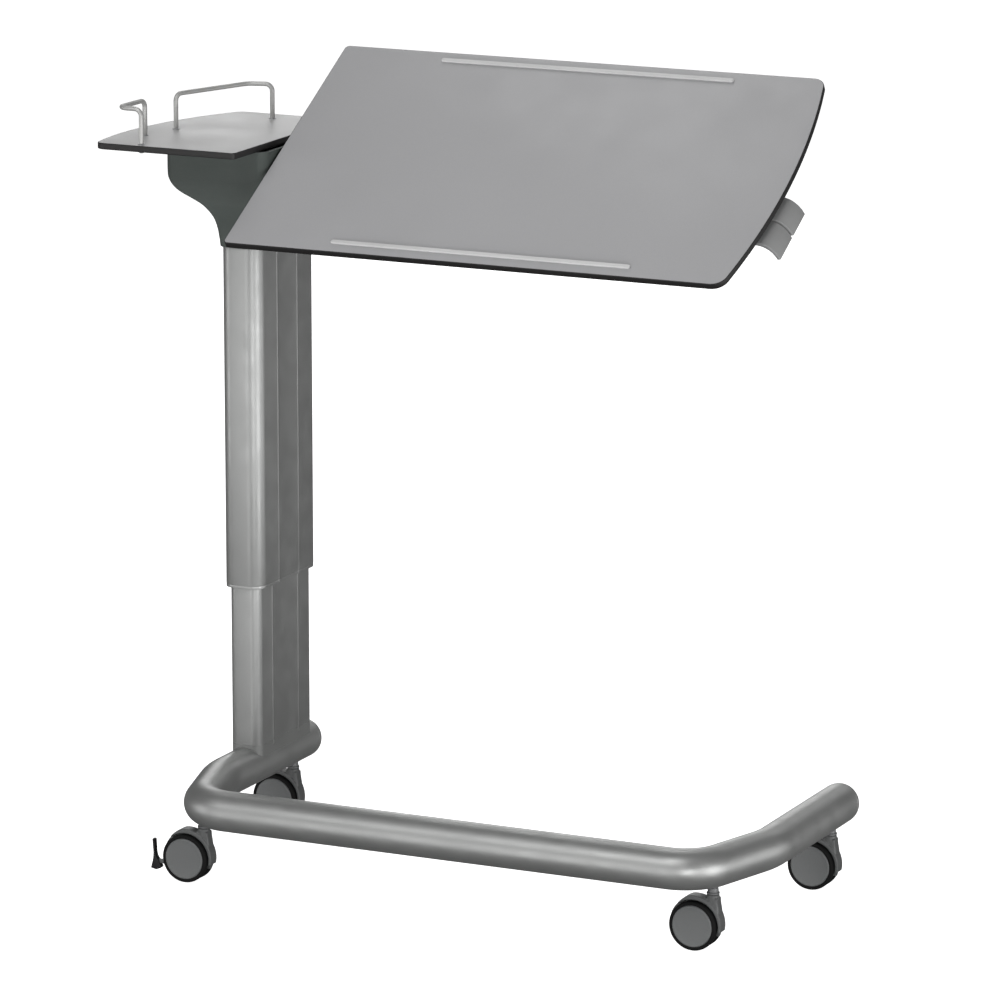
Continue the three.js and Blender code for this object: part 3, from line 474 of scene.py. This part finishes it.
def base_tube():
    bend_y = leg_end - LEG_STRAIGHT
    corners = [
        (leg_left, leg_end), (leg_left, bend_y), (leg_left + CORNER_INSET, bar_y),
        (leg_right - CORNER_INSET, bar_y), (leg_right, bend_y), (leg_right, leg_end)]
    radii = [0, LEG_BEND_RADIUS, CORNER_RADIUS, CORNER_RADIUS, LEG_BEND_RADIUS, 0]
    route = fillet([Vector(c) for c in corners], radii, steps=16, closed=False)
    path = [Vector((p.x, p.y, tube_z)) for p in route]
    show(bar("base_tube", path, circle(TUBE_RADIUS, 64)), "base", SILVER, "silver_paint",
         "base_frame")


def end_caps():
    """Domed caps with a fine groove against the tube."""
    groove = 0.5 * MM
    edge = 0.4 * MM
    rim = TUBE_RADIUS - 0.15 * MM
    plug_radius = TUBE_RADIUS - 1.5 * MM
    plug_depth = 10 * MM
    steps = 16
    for side, x in (("left", leg_left), ("right", leg_right)):
        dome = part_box(f"end_cap_{side}")[1].y - leg_end
        profile = [(0, -plug_depth), (plug_radius, -plug_depth), (plug_radius, groove),
                   (rim - edge, groove)]
        for k in range(steps + 1):
            angle = math.pi / 2 * k / steps
            height = groove + edge + (dome - groove - edge) * math.sin(angle)
            profile.append((rim * math.cos(angle), height))
        cap = lathe(f"cap_{side}", profile)
        place(cap, (x, leg_end, tube_z), TO_BACK)
        show(cap, "base", SILVER, "silver_paint", f"end_cap_{side}")


# ------------------------------------------------------------ column
column_middle = middle("upper_column")
column_x, column_y = column_middle.x, column_middle.y
upper_low, upper_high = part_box("upper_column")
lower_low, lower_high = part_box("lower_column")


def column_outline(low, high, corner, rib_y, clearance=0.0, rib=RIB_HEIGHT):
    """Plan of a column profile: round corners and two low ribs on each long side."""
    half_x = (high.x - low.x) / 2 + clearance
    half_y = (high.y - low.y) / 2 + clearance
    corner += clearance
    outline = []
    arc = 10
    rib_steps = 8
    for sx in (1, -1):
        for sy in (-1, 1):
            centre = Vector((sx * (half_x - corner), sx * sy * (half_y - corner)))
            for k in range(arc + 1):
                turn = math.pi / 2 * (k / arc + (sy + 1) / 2 - 1)
                spoke = Vector((math.cos(turn), math.sin(turn))) * corner * sx
                outline.append(centre + spoke)
            if sy > 0:
                continue
            for y in (-rib_y, rib_y):
                for k in range(rib_steps + 1):
                    share = k / rib_steps
                    rise = rib * math.sin(math.pi * share) ** 2
                    along = y + (share - 0.5) * RIB_WIDTH
                    outline.append(Vector((sx * (half_x + rise), sx * along)))
    return [Vector((column_x + p.x, column_y + p.y)) for p in outline]


def lower_outline(clearance=0.0, rib=RIB_HEIGHT):
    corner = COLUMN_CORNER - (lower_low.x - upper_low.x)
    return column_outline(lower_low, lower_high, corner, LOWER_RIB_Y, clearance, rib)


def column():
    upper = column_outline(upper_low, upper_high, COLUMN_CORNER, UPPER_RIB_Y)
    inner = inset(upper, COLUMN_WALL)
    made = sleeve("column_upper", upper, inner, upper_low.z, upper_high.z, 0.3 * MM)
    show(made, "carriage", SILVER, "silver_paint", "upper_column")

    lower = lower_outline()
    inner = inset(lower, COLUMN_WALL)
    made = sleeve("column_lower", lower, inner, lower_low.z - COLUMN_SUNK, lower_high.z)
    show(made, "base", SILVER, "silver_paint", "lower_column")

    rim_low, rim_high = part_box("column_collar")
    lip = upper_low.z - 0.05 * MM
    collar_bore = lower_outline(0.5 * MM)
    outside = inset(upper, 0.15 * MM)
    collar = sleeve("collar", outside, collar_bore, rim_low.z, lip, 0.25 * MM)
    show(collar, "carriage", SILVER, "silver_paint", "column_collar")
    guide_outside = inset(upper, COLUMN_WALL + 0.3 * MM)
    guide = sleeve("collar_guide", guide_outside, collar_bore, lip - 1 * MM, rim_high.z)
    show(guide, "carriage", BLACK_PLASTIC, "black_plastic")


def column_foot():
    """Saddle between the column and the leg, cut to the round tube like a weld."""
    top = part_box("column_foot")[1].z
    outline = lower_outline(0.12 * MM, 0)
    sink = 9 * MM                    # how far the wall goes into the tube
    core_share = 0.55
    core_z = tube_z + 12 * MM        # the closed underside, inside the tube
    steps = 6
    seat = [tube_z + math.sqrt(TUBE_RADIUS ** 2 - (p.x - column_x) ** 2) - sink for p in outline]
    rings = []
    for k in range(steps + 1):
        rings.append([Vector((p.x, p.y, top + (z - top) * k / steps))
                      for p, z in zip(outline, seat)])
    rings.append([Vector((column_x + (p.x - column_x) * core_share, p.y, core_z))
                  for p in outline])
    # The saddle wears the darker silver copy, painted shade where the column meets the tube
    show(skin("foot_saddle", rings), "base", SHADED_FOOT_SILVER, "silver_paint", "column_foot")


# ------------------------------------------------------------ casters
TYRE_INNER, TYRE_OUTER = 3.4 * MM, 12.4 * MM   # tyre faces, from the caster's middle plane
HOOD_FROM, HOOD_TO = math.radians(-12), math.radians(130)   # the guard's arc, about the axle
HOOD_INSIDE = WHEEL_RADIUS + 1.5 * MM
HOOD_THICKNESS = 3.5 * MM
HOOD_RISE = 2 * MM               # how far the guard's outer curve is raised
HOOD_HALF = 8 * MM
FIN_HALF = 1.7 * MM
LUG_HALF = 1.5 * MM
LUG_AT = (-38.2 * MM, 0, -10 * MM)      # the pedal's lug, from the axle
PEDAL_HALF = 3.6 * MM


def caster_meshes():
    """Meshes shared by all casters, built about the axle with the wheel's outside along +Z."""
    bead = HUB_RADIUS + 0.2 * MM
    corners = [(bead, TYRE_INNER), (WHEEL_RADIUS, TYRE_INNER), (WHEEL_RADIUS, TYRE_OUTER),
               (bead, TYRE_OUTER)]
    rounds = [0.3 * MM, 2.4 * MM, 2.4 * MM, 0.5 * MM]
    tread = fillet([Vector(c) for c in corners], rounds, 5)
    tyre = lathe("tyre_shape", [(p.x, p.y) for p in tread], 96, looped=True)
    face = TYRE_OUTER + 0.6 * MM
    chamfer = 1.2 * MM
    rim = HUB_RADIUS - 3 * MM
    rim_edge = TYRE_INNER + 1 * MM
    plate = face - 4 * MM
    boss = TYRE_INNER - 0.9 * MM
    boss_radius = 6.5 * MM
    corners = [
        (0, face - 0.7 * MM), (HUB_RADIUS - 5 * MM, face - 0.35 * MM), (HUB_RADIUS - chamfer, face),
        (HUB_RADIUS, face - chamfer), (HUB_RADIUS, rim_edge), (rim, rim_edge), (rim, plate),
        (boss_radius, plate), (boss_radius, boss), (0, boss)]
    rounds = [0, 3 * MM, 0.8 * MM, 0.4 * MM] + [0.3 * MM] * 5 + [0]
    hub_profile = fillet([Vector(c) for c in corners], rounds, 4, closed=False)
    hub = lathe("hub_shape", [(p.x, p.y) for p in hub_profile], 96)
    return tyre, hub


def hood_mesh(braked):
    """Curved guard over both wheels with a fin between them and a neck round the stem."""
    steps = 40
    taper_angle = math.radians(40)   # the guard thins over this angle to its tip
    tip_share = 0.25
    turn = [HOOD_FROM + (HOOD_TO - HOOD_FROM) * k / steps for k in range(steps + 1)]
    arch = []
    for a in turn:
        taper = min(1, tip_share + (HOOD_TO - a) / taper_angle)
        radius = HOOD_INSIDE + HOOD_THICKNESS * taper
        arch.append(Vector((radius * math.cos(a), radius * math.sin(a) + HOOD_RISE * taper)))
    arch += [Vector((math.cos(a), math.sin(a))) * HOOD_INSIDE for a in turn[::-1]]
    guard = prism("guard", arch, -HOOD_HALF, HOOD_HALF, 0.5 * MM)
    place(guard, rotation=TO_FRONT)

    fin_radius = HOOD_INSIDE + 1.5 * MM
    fin_floor = -11.6 * MM
    fin_outline = [Vector((x, max(y, fin_floor))) for x, y in circle(fin_radius, 64)]
    fin = prism("fin", fin_outline, -FIN_HALF, FIN_HALF, 0.2 * MM)
    place(fin, rotation=TO_FRONT)

    neck_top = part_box("caster_front_left_hood")[1].z - WHEEL_RADIUS
    neck_floor = 29.5 * MM
    neck = lathe("neck", [
        (0, neck_floor), (NECK_RADIUS, neck_floor), (NECK_RADIUS, neck_top - 1.5 * MM),
        (NECK_RADIUS - 0.8 * MM, neck_top), (0, neck_top)], 48)
    place(neck, (CASTER_TRAIL, 0, 0))

    half = 7 * MM
    corners = ((14, 28), (30.6, 14), (32, 18), (30, 30), (29.6, 36), (14, 36))
    cheek = prism("cheek", [Vector(p) * MM for p in corners], -half, half, 1.5 * MM)
    place(cheek, rotation=TO_FRONT)
    solids = [guard, fin, neck, cheek]
    if braked:
        lug_outline = rounded_rect(16 * MM, 5.6 * MM, 2.7 * MM)
        lug = prism("lug", lug_outline, -LUG_HALF, LUG_HALF, 0.2 * MM)
        place(lug, LUG_AT, TO_FRONT)
        solids.append(lug)
    name = "hood_braked" if braked else "hood_plain"
    return moulded(name, solids, voxel=0.6 * MM, rounds=3)


def stem_profile(low, high):
    """Stem with a washer, a collar and a plain end that goes up into the tube."""
    hood_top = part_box("caster_front_left_hood")[1].z
    washer = hood_top + 0.4 * MM
    tube_floor = tube_z - TUBE_RADIUS
    return [
        (0, low), (STEM_RADIUS, low), (STEM_RADIUS, washer), (NECK_RADIUS, washer),
        (NECK_RADIUS, washer + 1.8 * MM), (6.8 * MM, washer + 2.6 * MM),
        (6.4 * MM, washer + 6 * MM), (6.2 * MM, tube_floor - 0.6 * MM),
        (STEM_RADIUS, tube_floor - 0.2 * MM), (STEM_RADIUS, high), (0, high)]


PEDAL_LEFT = ((-7.5, -9.3), (-5.8, -3), (-4.4, 3), (-3.8, 10), (-4.2, 18), (-5, 28))
PEDAL_RIGHT = ((-2.2, 28), (-1.6, 20), (-1.1, 11), (0.5, 5.4), (3.2, 1.8), (4.6, -2.2), (6.8, -7.4),
               (0, -10.8))


def pedal_mesh():
    """Rocking brake blade, drawn about its pin: a slim arm above a flared foot."""
    outline = []
    for side in (PEDAL_LEFT, PEDAL_RIGHT):
        outline += smooth_through([Vector(p) * MM for p in side])
    return prism("blade", outline, -PEDAL_HALF, PEDAL_HALF, 0.8 * MM)


def casters():
    tyre, hub = caster_meshes()
    hoods = {False: hood_mesh(False), True: hood_mesh(True)}
    spin = {"front": TO_FRONT, "back": TO_BACK}
    for spot in PLACES:
        name = f"caster_{spot}"
        low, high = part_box(f"{name}_stem")
        centre = (low + high) / 2
        axle = Vector((centre.x - CASTER_TRAIL, centre.y, WHEEL_RADIUS))
        stem = lathe(f"stem_{spot}", stem_profile(low.z, high.z), 48)
        place(stem, (centre.x, centre.y, 0))
        show(stem, "base", STEM_STEEL, "bare_steel", f"{name}_stem")
        hood = copy_of(hoods[spot == "front_left"], f"hood_{spot}")
        show(place(hood, axle), f"{spot}_swivel", HOOD_GREY, "housing_grey", f"{name}_hood")
        for side in ("front", "back"):
            body = f"{spot}_wheel_{side}"
            ring = place(copy_of(tyre, f"tyre_{spot}_{side}"), axle, spin[side])
            show(ring, body, TYRE_RUBBER, "tyre_black", f"{name}_tyre_{side}")
            disc = place(copy_of(hub, f"hub_{spot}_{side}"), axle, spin[side])
            show(disc, body, HUB_GREY, "hub_grey", f"{name}_hub_{side}")
    pivot = Vector(joints["brake_pedal_rock"]["pos_m"])
    pedal = place(pedal_mesh(), pivot, TO_FRONT)
    pedal.name = "brake_blade"
    show(pedal, "brake_pedal", BLACK_PLASTIC, "black_plastic", "caster_front_left_brake_pedal")
    for shared in (tyre, hub, *hoods.values()):
        bpy.data.objects.remove(shared)


# ------------------------------------------------------------ head
HEAD_SECTIONS = (   # height above the head's lower edge, left, right, half depth, corner, in mm
    (0, -30, 30, 83, 20), (10, -31.5, 29, 82.8, 20), (21, -38, 26, 74, 18), (32, -49, 22, 63, 16),
    (43, -67, 20, 53, 14), (50, -84, 20, 49, 13), (56, -100, 20, 46, 12), (62, -111, 20, 44, 12),
    (70, -118, 20, 43, 12), (80, -121, 20, 42, 12), (113.2, -121, 20, 42, 12))
HEAD_WALL = 5 * MM
HEAD_FLOOR = 43 * MM
SOCKET_GAP = 0.4 * MM            # the head's socket over the column's width and depth


def head():
    low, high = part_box("head_housing")
    sections = smooth_through([np.array(s, float) for s in HEAD_SECTIONS], 5)
    outer = [(s, head_ring(s, 0)) for s in sections]
    rings = [at_height(ring, low.z + s[0] * MM) for s, ring in outer]
    hollow = [s for s in sections if s[0] * MM >= HEAD_FLOOR][::-1]
    rings += [at_height(head_ring(s, HEAD_WALL), low.z + s[0] * MM) for s in hollow]
    width, depth = upper_high.x - upper_low.x, upper_high.y - upper_low.y
    socket = rounded_rect(width + SOCKET_GAP, depth + SOCKET_GAP, COLUMN_CORNER, 8,
                          (column_x, column_y))
    bottom = [at_height(socket, upper_high.z + 0.3 * MM), at_height(socket, low.z)]
    made = skin("head_shell", bottom + rings)
    show(made, "carriage", HEAD_GREY, "housing_grey", "head_housing")


def head_ring(section, wall):
    _, left, right, half, corner = section
    width = (right - left) * MM - 2 * wall
    centre = (column_x + (left + right) / 2 * MM, column_y)
    return rounded_rect(width, 2 * (half * MM - wall), max(corner * MM - wall, 3 * MM), 8, centre)


# ------------------------------------------------------------ boards
def board_outline(straight_x, far_x, front, back, arc, arc_y, inner_round, outer_round):
    """A board with one straight side, one bowed side and rounded corners."""
    sign = math.copysign(1, far_x - straight_x)

    def bow(y):
        return far_x - sign * (arc - math.sqrt(arc ** 2 - (y - arc_y) ** 2))

    near_front = Vector((bow(front + outer_round), front + outer_round))
    near_back = Vector((bow(back - outer_round), back - outer_round))
    tips = [Vector((straight_x, back)), Vector((straight_x, front)), Vector((bow(front), front)),
            near_front]
    outline = fillet(tips, [0, inner_round, outer_round, 0], 10, closed=False)[1:-1]
    steps = 36
    span = near_back.y - near_front.y - outer_round
    for k in range(1, steps):
        y = near_front.y + outer_round / 2 + span * k / steps
        outline.append(Vector((bow(y), y)))
    tips = [near_back, Vector((bow(back), back)), Vector((straight_x, back)),
            Vector((straight_x, front))]
    outline += fillet(tips, [0, outer_round, inner_round, 0], 10, closed=False)[1:-1]
    return outline


def board(name, outline, bottom, top, laminate):
    """A compact board: laminate faces and a black core that shows at the edge."""
    made = prism(name, outline, bottom, top, BOARD_EDGE, sharp=50)
    made.data.materials.append(laminate)
    made.data.materials.append(BLACK_CORE)
    for face in made.data.polygons:
        flat = abs(face.normal.z) > 0.9 and len(face.vertices) > 4
        face.material_index = 0 if flat else 1
    return made


shelf_low, shelf_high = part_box("side_shelf")


def side_shelf():
    arc_y = column_y - 23 * MM
    outline = board_outline(shelf_high.x, shelf_low.x, shelf_low.y, shelf_high.y, SHELF_ARC,
                            arc_y, inner_round=5 * MM, outer_round=14 * MM)
    made = board("shelf_board", outline, shelf_low.z, shelf_high.z, SHELF_LAMINATE)
    show(made, "carriage", SHELF_LAMINATE, "laminate_light", "side_shelf")


tilt_pivot = Vector(joints["top_tilt"]["pos_m"])
tilt_pivot.x = 0
tilted = Matrix.Translation(tilt_pivot) @ Matrix.Rotation(TOP_TILT, 4, "X")
top_low, top_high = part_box("main_top")
under_board = TOP_SURFACE - BOARD


def on_top(made):
    """Puts a piece drawn with the board level and the tilt axis as its X axis in place."""
    made.matrix_world = tilted @ made.matrix_world
    return made


def main_top():
    half = TOP_DEPTH / 2
    outline = board_outline(top_low.x, top_high.x, -half, half, TOP_ARC, TOP_ARC_Y,
                            inner_round=6 * MM, outer_round=18 * MM)
    made = board("top_board", outline, under_board, TOP_SURFACE, TOP_LAMINATE)
    show(on_top(made), "top", TOP_LAMINATE, "laminate_grey", "main_top")


STRIP_INSET = 17 * MM            # strip's middle line, from the board's edge
STRIP_WIDTH = 7 * MM
STRIP_TOP = TOP_SURFACE + 2.8 * MM


def strips():
    """Low retaining strips with round ends and a crowned section, each on a thin tape."""
    for side, sign in (("rear", 1), ("front", -1)):
        low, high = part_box(f"strip_{side}")
        y = sign * (TOP_DEPTH / 2 - STRIP_INSET)
        outline = rounded_rect(high.x - low.x, STRIP_WIDTH, 3.4 * MM, 8, ((low.x + high.x) / 2, y))
        made = prism(f"retainer_{side}", outline, TOP_SURFACE + 0.3 * MM, STRIP_TOP, 1.6 * MM)
        tape_outline = inset(counterclockwise(outline), 0.8 * MM)
        tape = prism("tape", tape_outline, TOP_SURFACE, TOP_SURFACE + 0.6 * MM, 0.05 * MM)
        whole = joined(f"retaining_strip_{side}", [made, tape])
        show(on_top(whole), "top", STRIP, "strip_pale", f"strip_{side}")


RAIL_PLANS = {      # plan of each rail's three corners, from the left leg's end, in mm
    "rear": ((-142, -55), (-100, 58), (-70, 67)),
    "front": ((-154, -114), (-157, -179), (-124, -179))}
RAIL_BENDS = (0, 9 * MM, 14 * MM, 9 * MM, 0)
FLANGE_PROFILE = (
    (RAIL_WIRE, 0), (4.8 * MM, 0), (4.6 * MM, 0.7 * MM), (3.6 * MM, 1.1 * MM),
    (RAIL_WIRE, 1.1 * MM))
NUT_PROFILE = (
    (0, -1.3 * MM), (4 * MM, -1.3 * MM), (4.6 * MM, -0.9 * MM), (4.6 * MM, -0.5 * MM),
    (5.4 * MM, -0.5 * MM), (5.4 * MM, 0), (0, 0))


def rails():
    """Bent wire rails with a flange at each foot and a cap nut under the shelf."""
    flanges, nuts = [], []
    for side, plan in RAIL_PLANS.items():
        low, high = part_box(f"rail_{side}")
        crown = high.z - RAIL_WIRE
        bends = [Vector((leg_left + x * MM, leg_end + y * MM, crown)) for x, y in plan]
        ends = [Vector((bends[i].x, bends[i].y, low.z)) for i in (0, 2)]
        path = fillet([ends[0], *bends, ends[1]], RAIL_BENDS, 10, closed=False)
        show(wire(f"wire_rail_{side}", path, RAIL_WIRE), "carriage", WIRE, "wire_chrome",
             f"rail_{side}")
        for end in ends:
            ring = lathe("flange", FLANGE_PROFILE, 32, looped=True)
            flanges.append(place(ring, (end.x, end.y, shelf_high.z)))
            nut = lathe("nut", NUT_PROFILE, 24)
            nuts.append(place(nut, (end.x, end.y, shelf_low.z)))
    show(joined("rail_flanges", flanges), "carriage", STEEL, "bare_steel")
    show(joined("rail_nuts", nuts), "carriage", BLACK_PLASTIC, "black_plastic")


def head_cover():
    """Service cover on the back of the head, with two screws."""
    low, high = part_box("head_cover")
    centre = (low + high) / 2
    proud, sunk = 1.2 * MM, 0.6 * MM
    outline = rounded_rect(high.x - low.x, high.z - low.z, 4 * MM, 8, (centre.x, centre.z))
    plate = prism("service_cover", outline, -high.y - proud, -high.y + sunk, 0.7 * MM)
    place(plate, rotation=ALONG_Y)
    show(plate, "carriage", HEAD_GREY, "housing_grey", "head_cover")
    heads = []
    for x in (-33 * MM, 33 * MM):
        where = (centre.x + x, high.y + 1 * MM, centre.z)
        heads.append(place(screw(3.2 * MM, 1.6 * MM), where, TO_BACK))
    show(joined("cover_screws", heads), "carriage", BLACK_PLASTIC, "black_plastic")


def tilt_shaft():
    low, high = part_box("tilt_shaft")
    radius = (high.z - low.z) / 2
    length = high.x - low.x
    ease = 1.2 * MM
    profile = [
        (0, 0), (radius - ease, 0), (radius, ease), (radius, length - ease),
        (radius - ease, length), (0, length)]
    made = lathe("shaft", profile, 64)
    place(made, (low.x, tilt_pivot.y, tilt_pivot.z), Matrix.Rotation(math.pi / 2, 3, "Y"))
    show(made, "carriage", STEEL, "bare_steel", "tilt_shaft")


CHANNEL = {"from": 60 * MM, "to": 560 * MM, "half": 46 * MM, "wall": 2 * MM, "low": -4 * MM}
CHANNEL_FLANGE = 12 * MM
FLANGE_SCREWS = 6
HELD_UNDER_TOP = (
    ("shaft_bearing_left", BLACK_PLASTIC, "black_plastic"),
    ("shaft_bearing_right", BLACK_PLASTIC, "black_plastic"),
    ("tilt_clamp", STEEL, "bare_steel"))


def underside():
    """Pressed channel, bearings, clamp and screws under the main top."""
    top = under_board - 0.3 * MM
    half, wall, low = CHANNEL["half"], CHANNEL["wall"], CHANNEL["low"]
    inside = half - wall
    outside = half + CHANNEL_FLANGE
    corners = [
        (-outside, top), (-outside, top - wall), (-half, top - wall), (-half, low),
        (-inside, low), (-inside, top - wall), (inside, top - wall), (inside, low), (half, low),
        (half, top - wall), (outside, top - wall), (outside, top)]
    outline = fillet([Vector(c) for c in corners], 0.9 * MM, 4)
    start, end = leg_left + CHANNEL["from"], leg_left + CHANNEL["to"]
    made = place(prism("pressed_channel", outline, start, end, 0.4 * MM), rotation=ALONG_X)
    show(on_top(made), "top", STEEL, "bare_steel", "top_channel")
    heads = []
    end_gap = 20 * MM
    screw_y = half + 6.5 * MM
    block_screw_y, block_floor = 13 * MM, -14 * MM
    for k in range(FLANGE_SCREWS):
        x = start + end_gap + (end - start - 2 * end_gap) * k / (FLANGE_SCREWS - 1)
        for y in (-screw_y, screw_y):
            heads.append(place(screw(3.6 * MM, 2.2 * MM), (x, y, top - wall), DOWNWARD))
    for node, material, slot in HELD_UNDER_TOP:
        keep(node, material, 1 * MM)
        x = middle(node).x
        for y in (-block_screw_y, block_screw_y):
            heads.append(place(screw(3 * MM, 2.4 * MM), (x, y, block_floor), DOWNWARD))
    show(on_top(joined("channel_screws", heads)), "top", STEEL, "bare_steel")


CABLE_RADIUS = 2.5 * MM
CABLE_Y = 62 * MM
CABLE_ENDS = (64 * MM, 611.7 * MM)       # from the left leg's axis, as are the bends and clips
CABLE_BENDS = (566 * MM, 592 * MM)
CABLE_BEND_RADIUS = 12 * MM
CLIPS_AT = (100 * MM, 250 * MM, 400 * MM, 540 * MM)
CLIP_WIDTH = 7 * MM


def clip_section():
    """Half a ring under the cable, with a foot to one side."""
    reach = CABLE_RADIUS + 1.4 * MM
    foot_end = -reach - 6 * MM
    top, foot_low = 2.2 * MM, 0.8 * MM
    steps = 16
    turn = [math.pi * (1 + k / steps) for k in range(steps + 1)]
    ring = [Vector((reach * math.cos(a), reach * math.sin(a))) for a in turn]
    for tip in (ring[0], ring[-1]):
        tip.y += foot_low
    return [Vector((foot_end, top)), Vector((foot_end, foot_low)), *ring, Vector((reach, top))]


def cables():
    """Release cables clipped beside the channel and led into the lever housing."""
    height = under_board - CABLE_RADIUS - 0.5 * MM
    clips = []
    for name, y in (("height", CABLE_Y), ("tilt", -CABLE_Y)):
        pin = tilted.inverted() @ Vector(joints[f"{name}_lever_squeeze"]["pos_m"])
        corners = [
            (CABLE_ENDS[0], y), (CABLE_BENDS[0], y),
            (CABLE_BENDS[1], pin.y), (CABLE_ENDS[1], pin.y)]
        path = [Vector((leg_left + x, across, height)) for x, across in corners]
        path = fillet(path, [0, CABLE_BEND_RADIUS, CABLE_BEND_RADIUS, 0], 10, closed=False)
        show(on_top(wire(f"release_cable_{name}", path, CABLE_RADIUS, 24)), "top", BLACK_PLASTIC,
             "black_plastic", f"cable_{name}")
        for x in CLIPS_AT:
            clip = prism("clip", clip_section(), 0, CLIP_WIDTH, 0.3 * MM)
            clips.append(place(clip, (leg_left + x, y, height), ALONG_X))
    show(on_top(joined("cable_clips", clips)), "top", BLACK_PLASTIC, "black_plastic")


LEVER_WIDTH = 42 * MM
LEVER_UPPER = ((-18, 5), (-4, 6.6), (18, 6.8), (36, 7), (48, 6.6), (57, 3.5), (64, -3), (68.5, -10),
               (71, -17))
LEVER_LOWER = ((67, -17.6), (64, -11), (60, -5.5), (54, -1), (46, 1.8), (32, 2.4), (18, -1.5),
               (8, -5.5), (-6, -5.5), (-18, 0))


def levers():
    """Finger paddles, drawn about their pin, with curled ends and soft edges."""
    keep("lever_housing", BLACK_PLASTIC, 0.8 * MM)
    keep("lever_pin", STEEL)
    for name in ("height", "tilt"):
        pin = tilted.inverted() @ Vector(joints[f"{name}_lever_squeeze"]["pos_m"])
        upper = smooth_through([Vector(p) * MM for p in LEVER_UPPER], 5)
        lower = smooth_through([Vector(p) * MM for p in LEVER_LOWER], 5)
        half = LEVER_WIDTH / 2
        paddle = prism(f"paddle_{name}", upper + lower, -half, half, 1.2 * MM, sharp=60)
        place(paddle, pin, ALONG_Y)
        show(on_top(paddle), f"{name}_lever", LEVER_GREY, "lever_grey", f"lever_{name}")


def inner_parts():
    """Parts inside the column and head, which show only when the table is apart."""
    for node in ("lift_cylinder", "lift_rod", "shaft_mount"):
        keep(node, STEEL)
    keep("lift_release", BLACK_PLASTIC)
    keep("lower_glide", GLIDE)
    for spot in PLACES:
        keep(f"caster_{spot}_axle", STEEL)


# ------------------------------------------------------------ stage, light, camera
SKY_STRENGTH = 0.10
FLOOR_GLOW = 1.0
FLOOR_HALF = 30


def stage():
    """A pale floor that keeps soft contact shadows and throws no light back up."""
    corners = [(x * FLOOR_HALF, y * FLOOR_HALF, 0) for x, y in ((-1, -1), (1, -1), (1, 1), (-1, 1))]
    floor = mesh_object("floor", corners, [(0, 1, 2, 3)])
    made, tree, shader = new_material("pale_floor")
    shader.inputs["Base Color"].default_value = (0.8, 0.8, 0.8, 1)
    shader.inputs["Roughness"].default_value = 0.9
    shader.inputs["Specular IOR Level"].default_value = 0.0
    shader.inputs["Emission Color"].default_value = (1, 1, 1, 1)
    shader.inputs["Emission Strength"].default_value = FLOOR_GLOW
    floor.data.materials.append(made)
    floor.visible_diffuse = False
    floor.visible_glossy = False
    floor.visible_shadow = False


def area_light(name, location, target, size, power):
    data = bpy.data.lights.new(name, "AREA")
    data.shape = "DISK"
    data.size = size
    data.energy = power
    lamp = bpy.data.objects.new(name, data)
    bpy.context.scene.collection.objects.link(lamp)
    lamp.location = location
    lamp.visible_camera = False
    lamp.rotation_euler = (Vector(target) - Vector(location)).to_track_quat("-Z", "Y").to_euler()


def toward(azimuth, elevation, distance):
    a, e = math.radians(azimuth), math.radians(elevation)
    return Vector((math.sin(a) * math.cos(e), -math.cos(a) * math.cos(e), math.sin(e))) * distance


LIGHTS = {   # azimuth and elevation in degrees, distance and width in metres, power in watts
    "key": (74, -6, 4.0, 2.6, 66), "right": (116, -6, 4.0, 2.2, 19),
    "fill": (-26, 32, 4.5, 1.9, 22), "low_front": (-14, -8, 4.5, 3.0, 43),
    "low_right": (32, -6, 4.5, 1.8, 49), "left": (-60, -4, 4.5, 2.2, 24),
    "front": (0, 48, 4.5, 2.0, 55), "overhead": (-150, 58, 4.0, 2.2, 34),
    "backdrop": (-155, 15, 4.5, 2.2, 22), "behind": (172, 30, 4.0, 2.0, 8)}


LIGHT_AIM_HEIGHT = 0.5


def lights():
    aim = Vector((0, 0, LIGHT_AIM_HEIGHT))
    for name, (azimuth, elevation, distance, width, power) in LIGHTS.items():
        area_light(name, aim + toward(azimuth, elevation, distance), aim, width, power)
    world = bpy.data.worlds.new("studio")
    bpy.context.scene.world = world
    world.use_nodes = True
    tree = world.node_tree
    sky = tree.nodes["Background"]
    sky.inputs["Color"].default_value = (1, 1, 1, 1)
    seen = tree.nodes.new("ShaderNodeLightPath")
    strength = tree.nodes.new("ShaderNodeMapRange")
    strength.inputs["To Min"].default_value = SKY_STRENGTH
    strength.inputs["To Max"].default_value = 1.0
    tree.links.new(seen.outputs["Is Camera Ray"], strength.inputs["Value"])
    tree.links.new(strength.outputs["Result"], sky.inputs["Strength"])


CAMERA_AT = (3.1829, -6.6577, 2.1303)
CAMERA_TARGET = (-0.1253, 0.3885, 0.3761)
CAMERA_LENS = 223.3


def camera():
    data = bpy.data.cameras.new("camera")
    data.sensor_width = 36
    data.lens = CAMERA_LENS
    data.clip_end = 100
    made = bpy.data.objects.new("camera", data)
    bpy.context.scene.collection.objects.link(made)
    made.location = CAMERA_AT
    aim = Vector(CAMERA_TARGET) - made.location
    made.rotation_euler = aim.to_track_quat("-Z", "Y").to_euler()
    bpy.context.scene.camera = made


camera()
lights()
stage()
base_tube()
end_caps()
column()
column_foot()
casters()
head()
side_shelf()
rails()
head_cover()
main_top()
strips()
tilt_shaft()
underside()
cables()
levers()
inner_parts()
bpy.context.scene.view_settings.view_transform = "Standard"
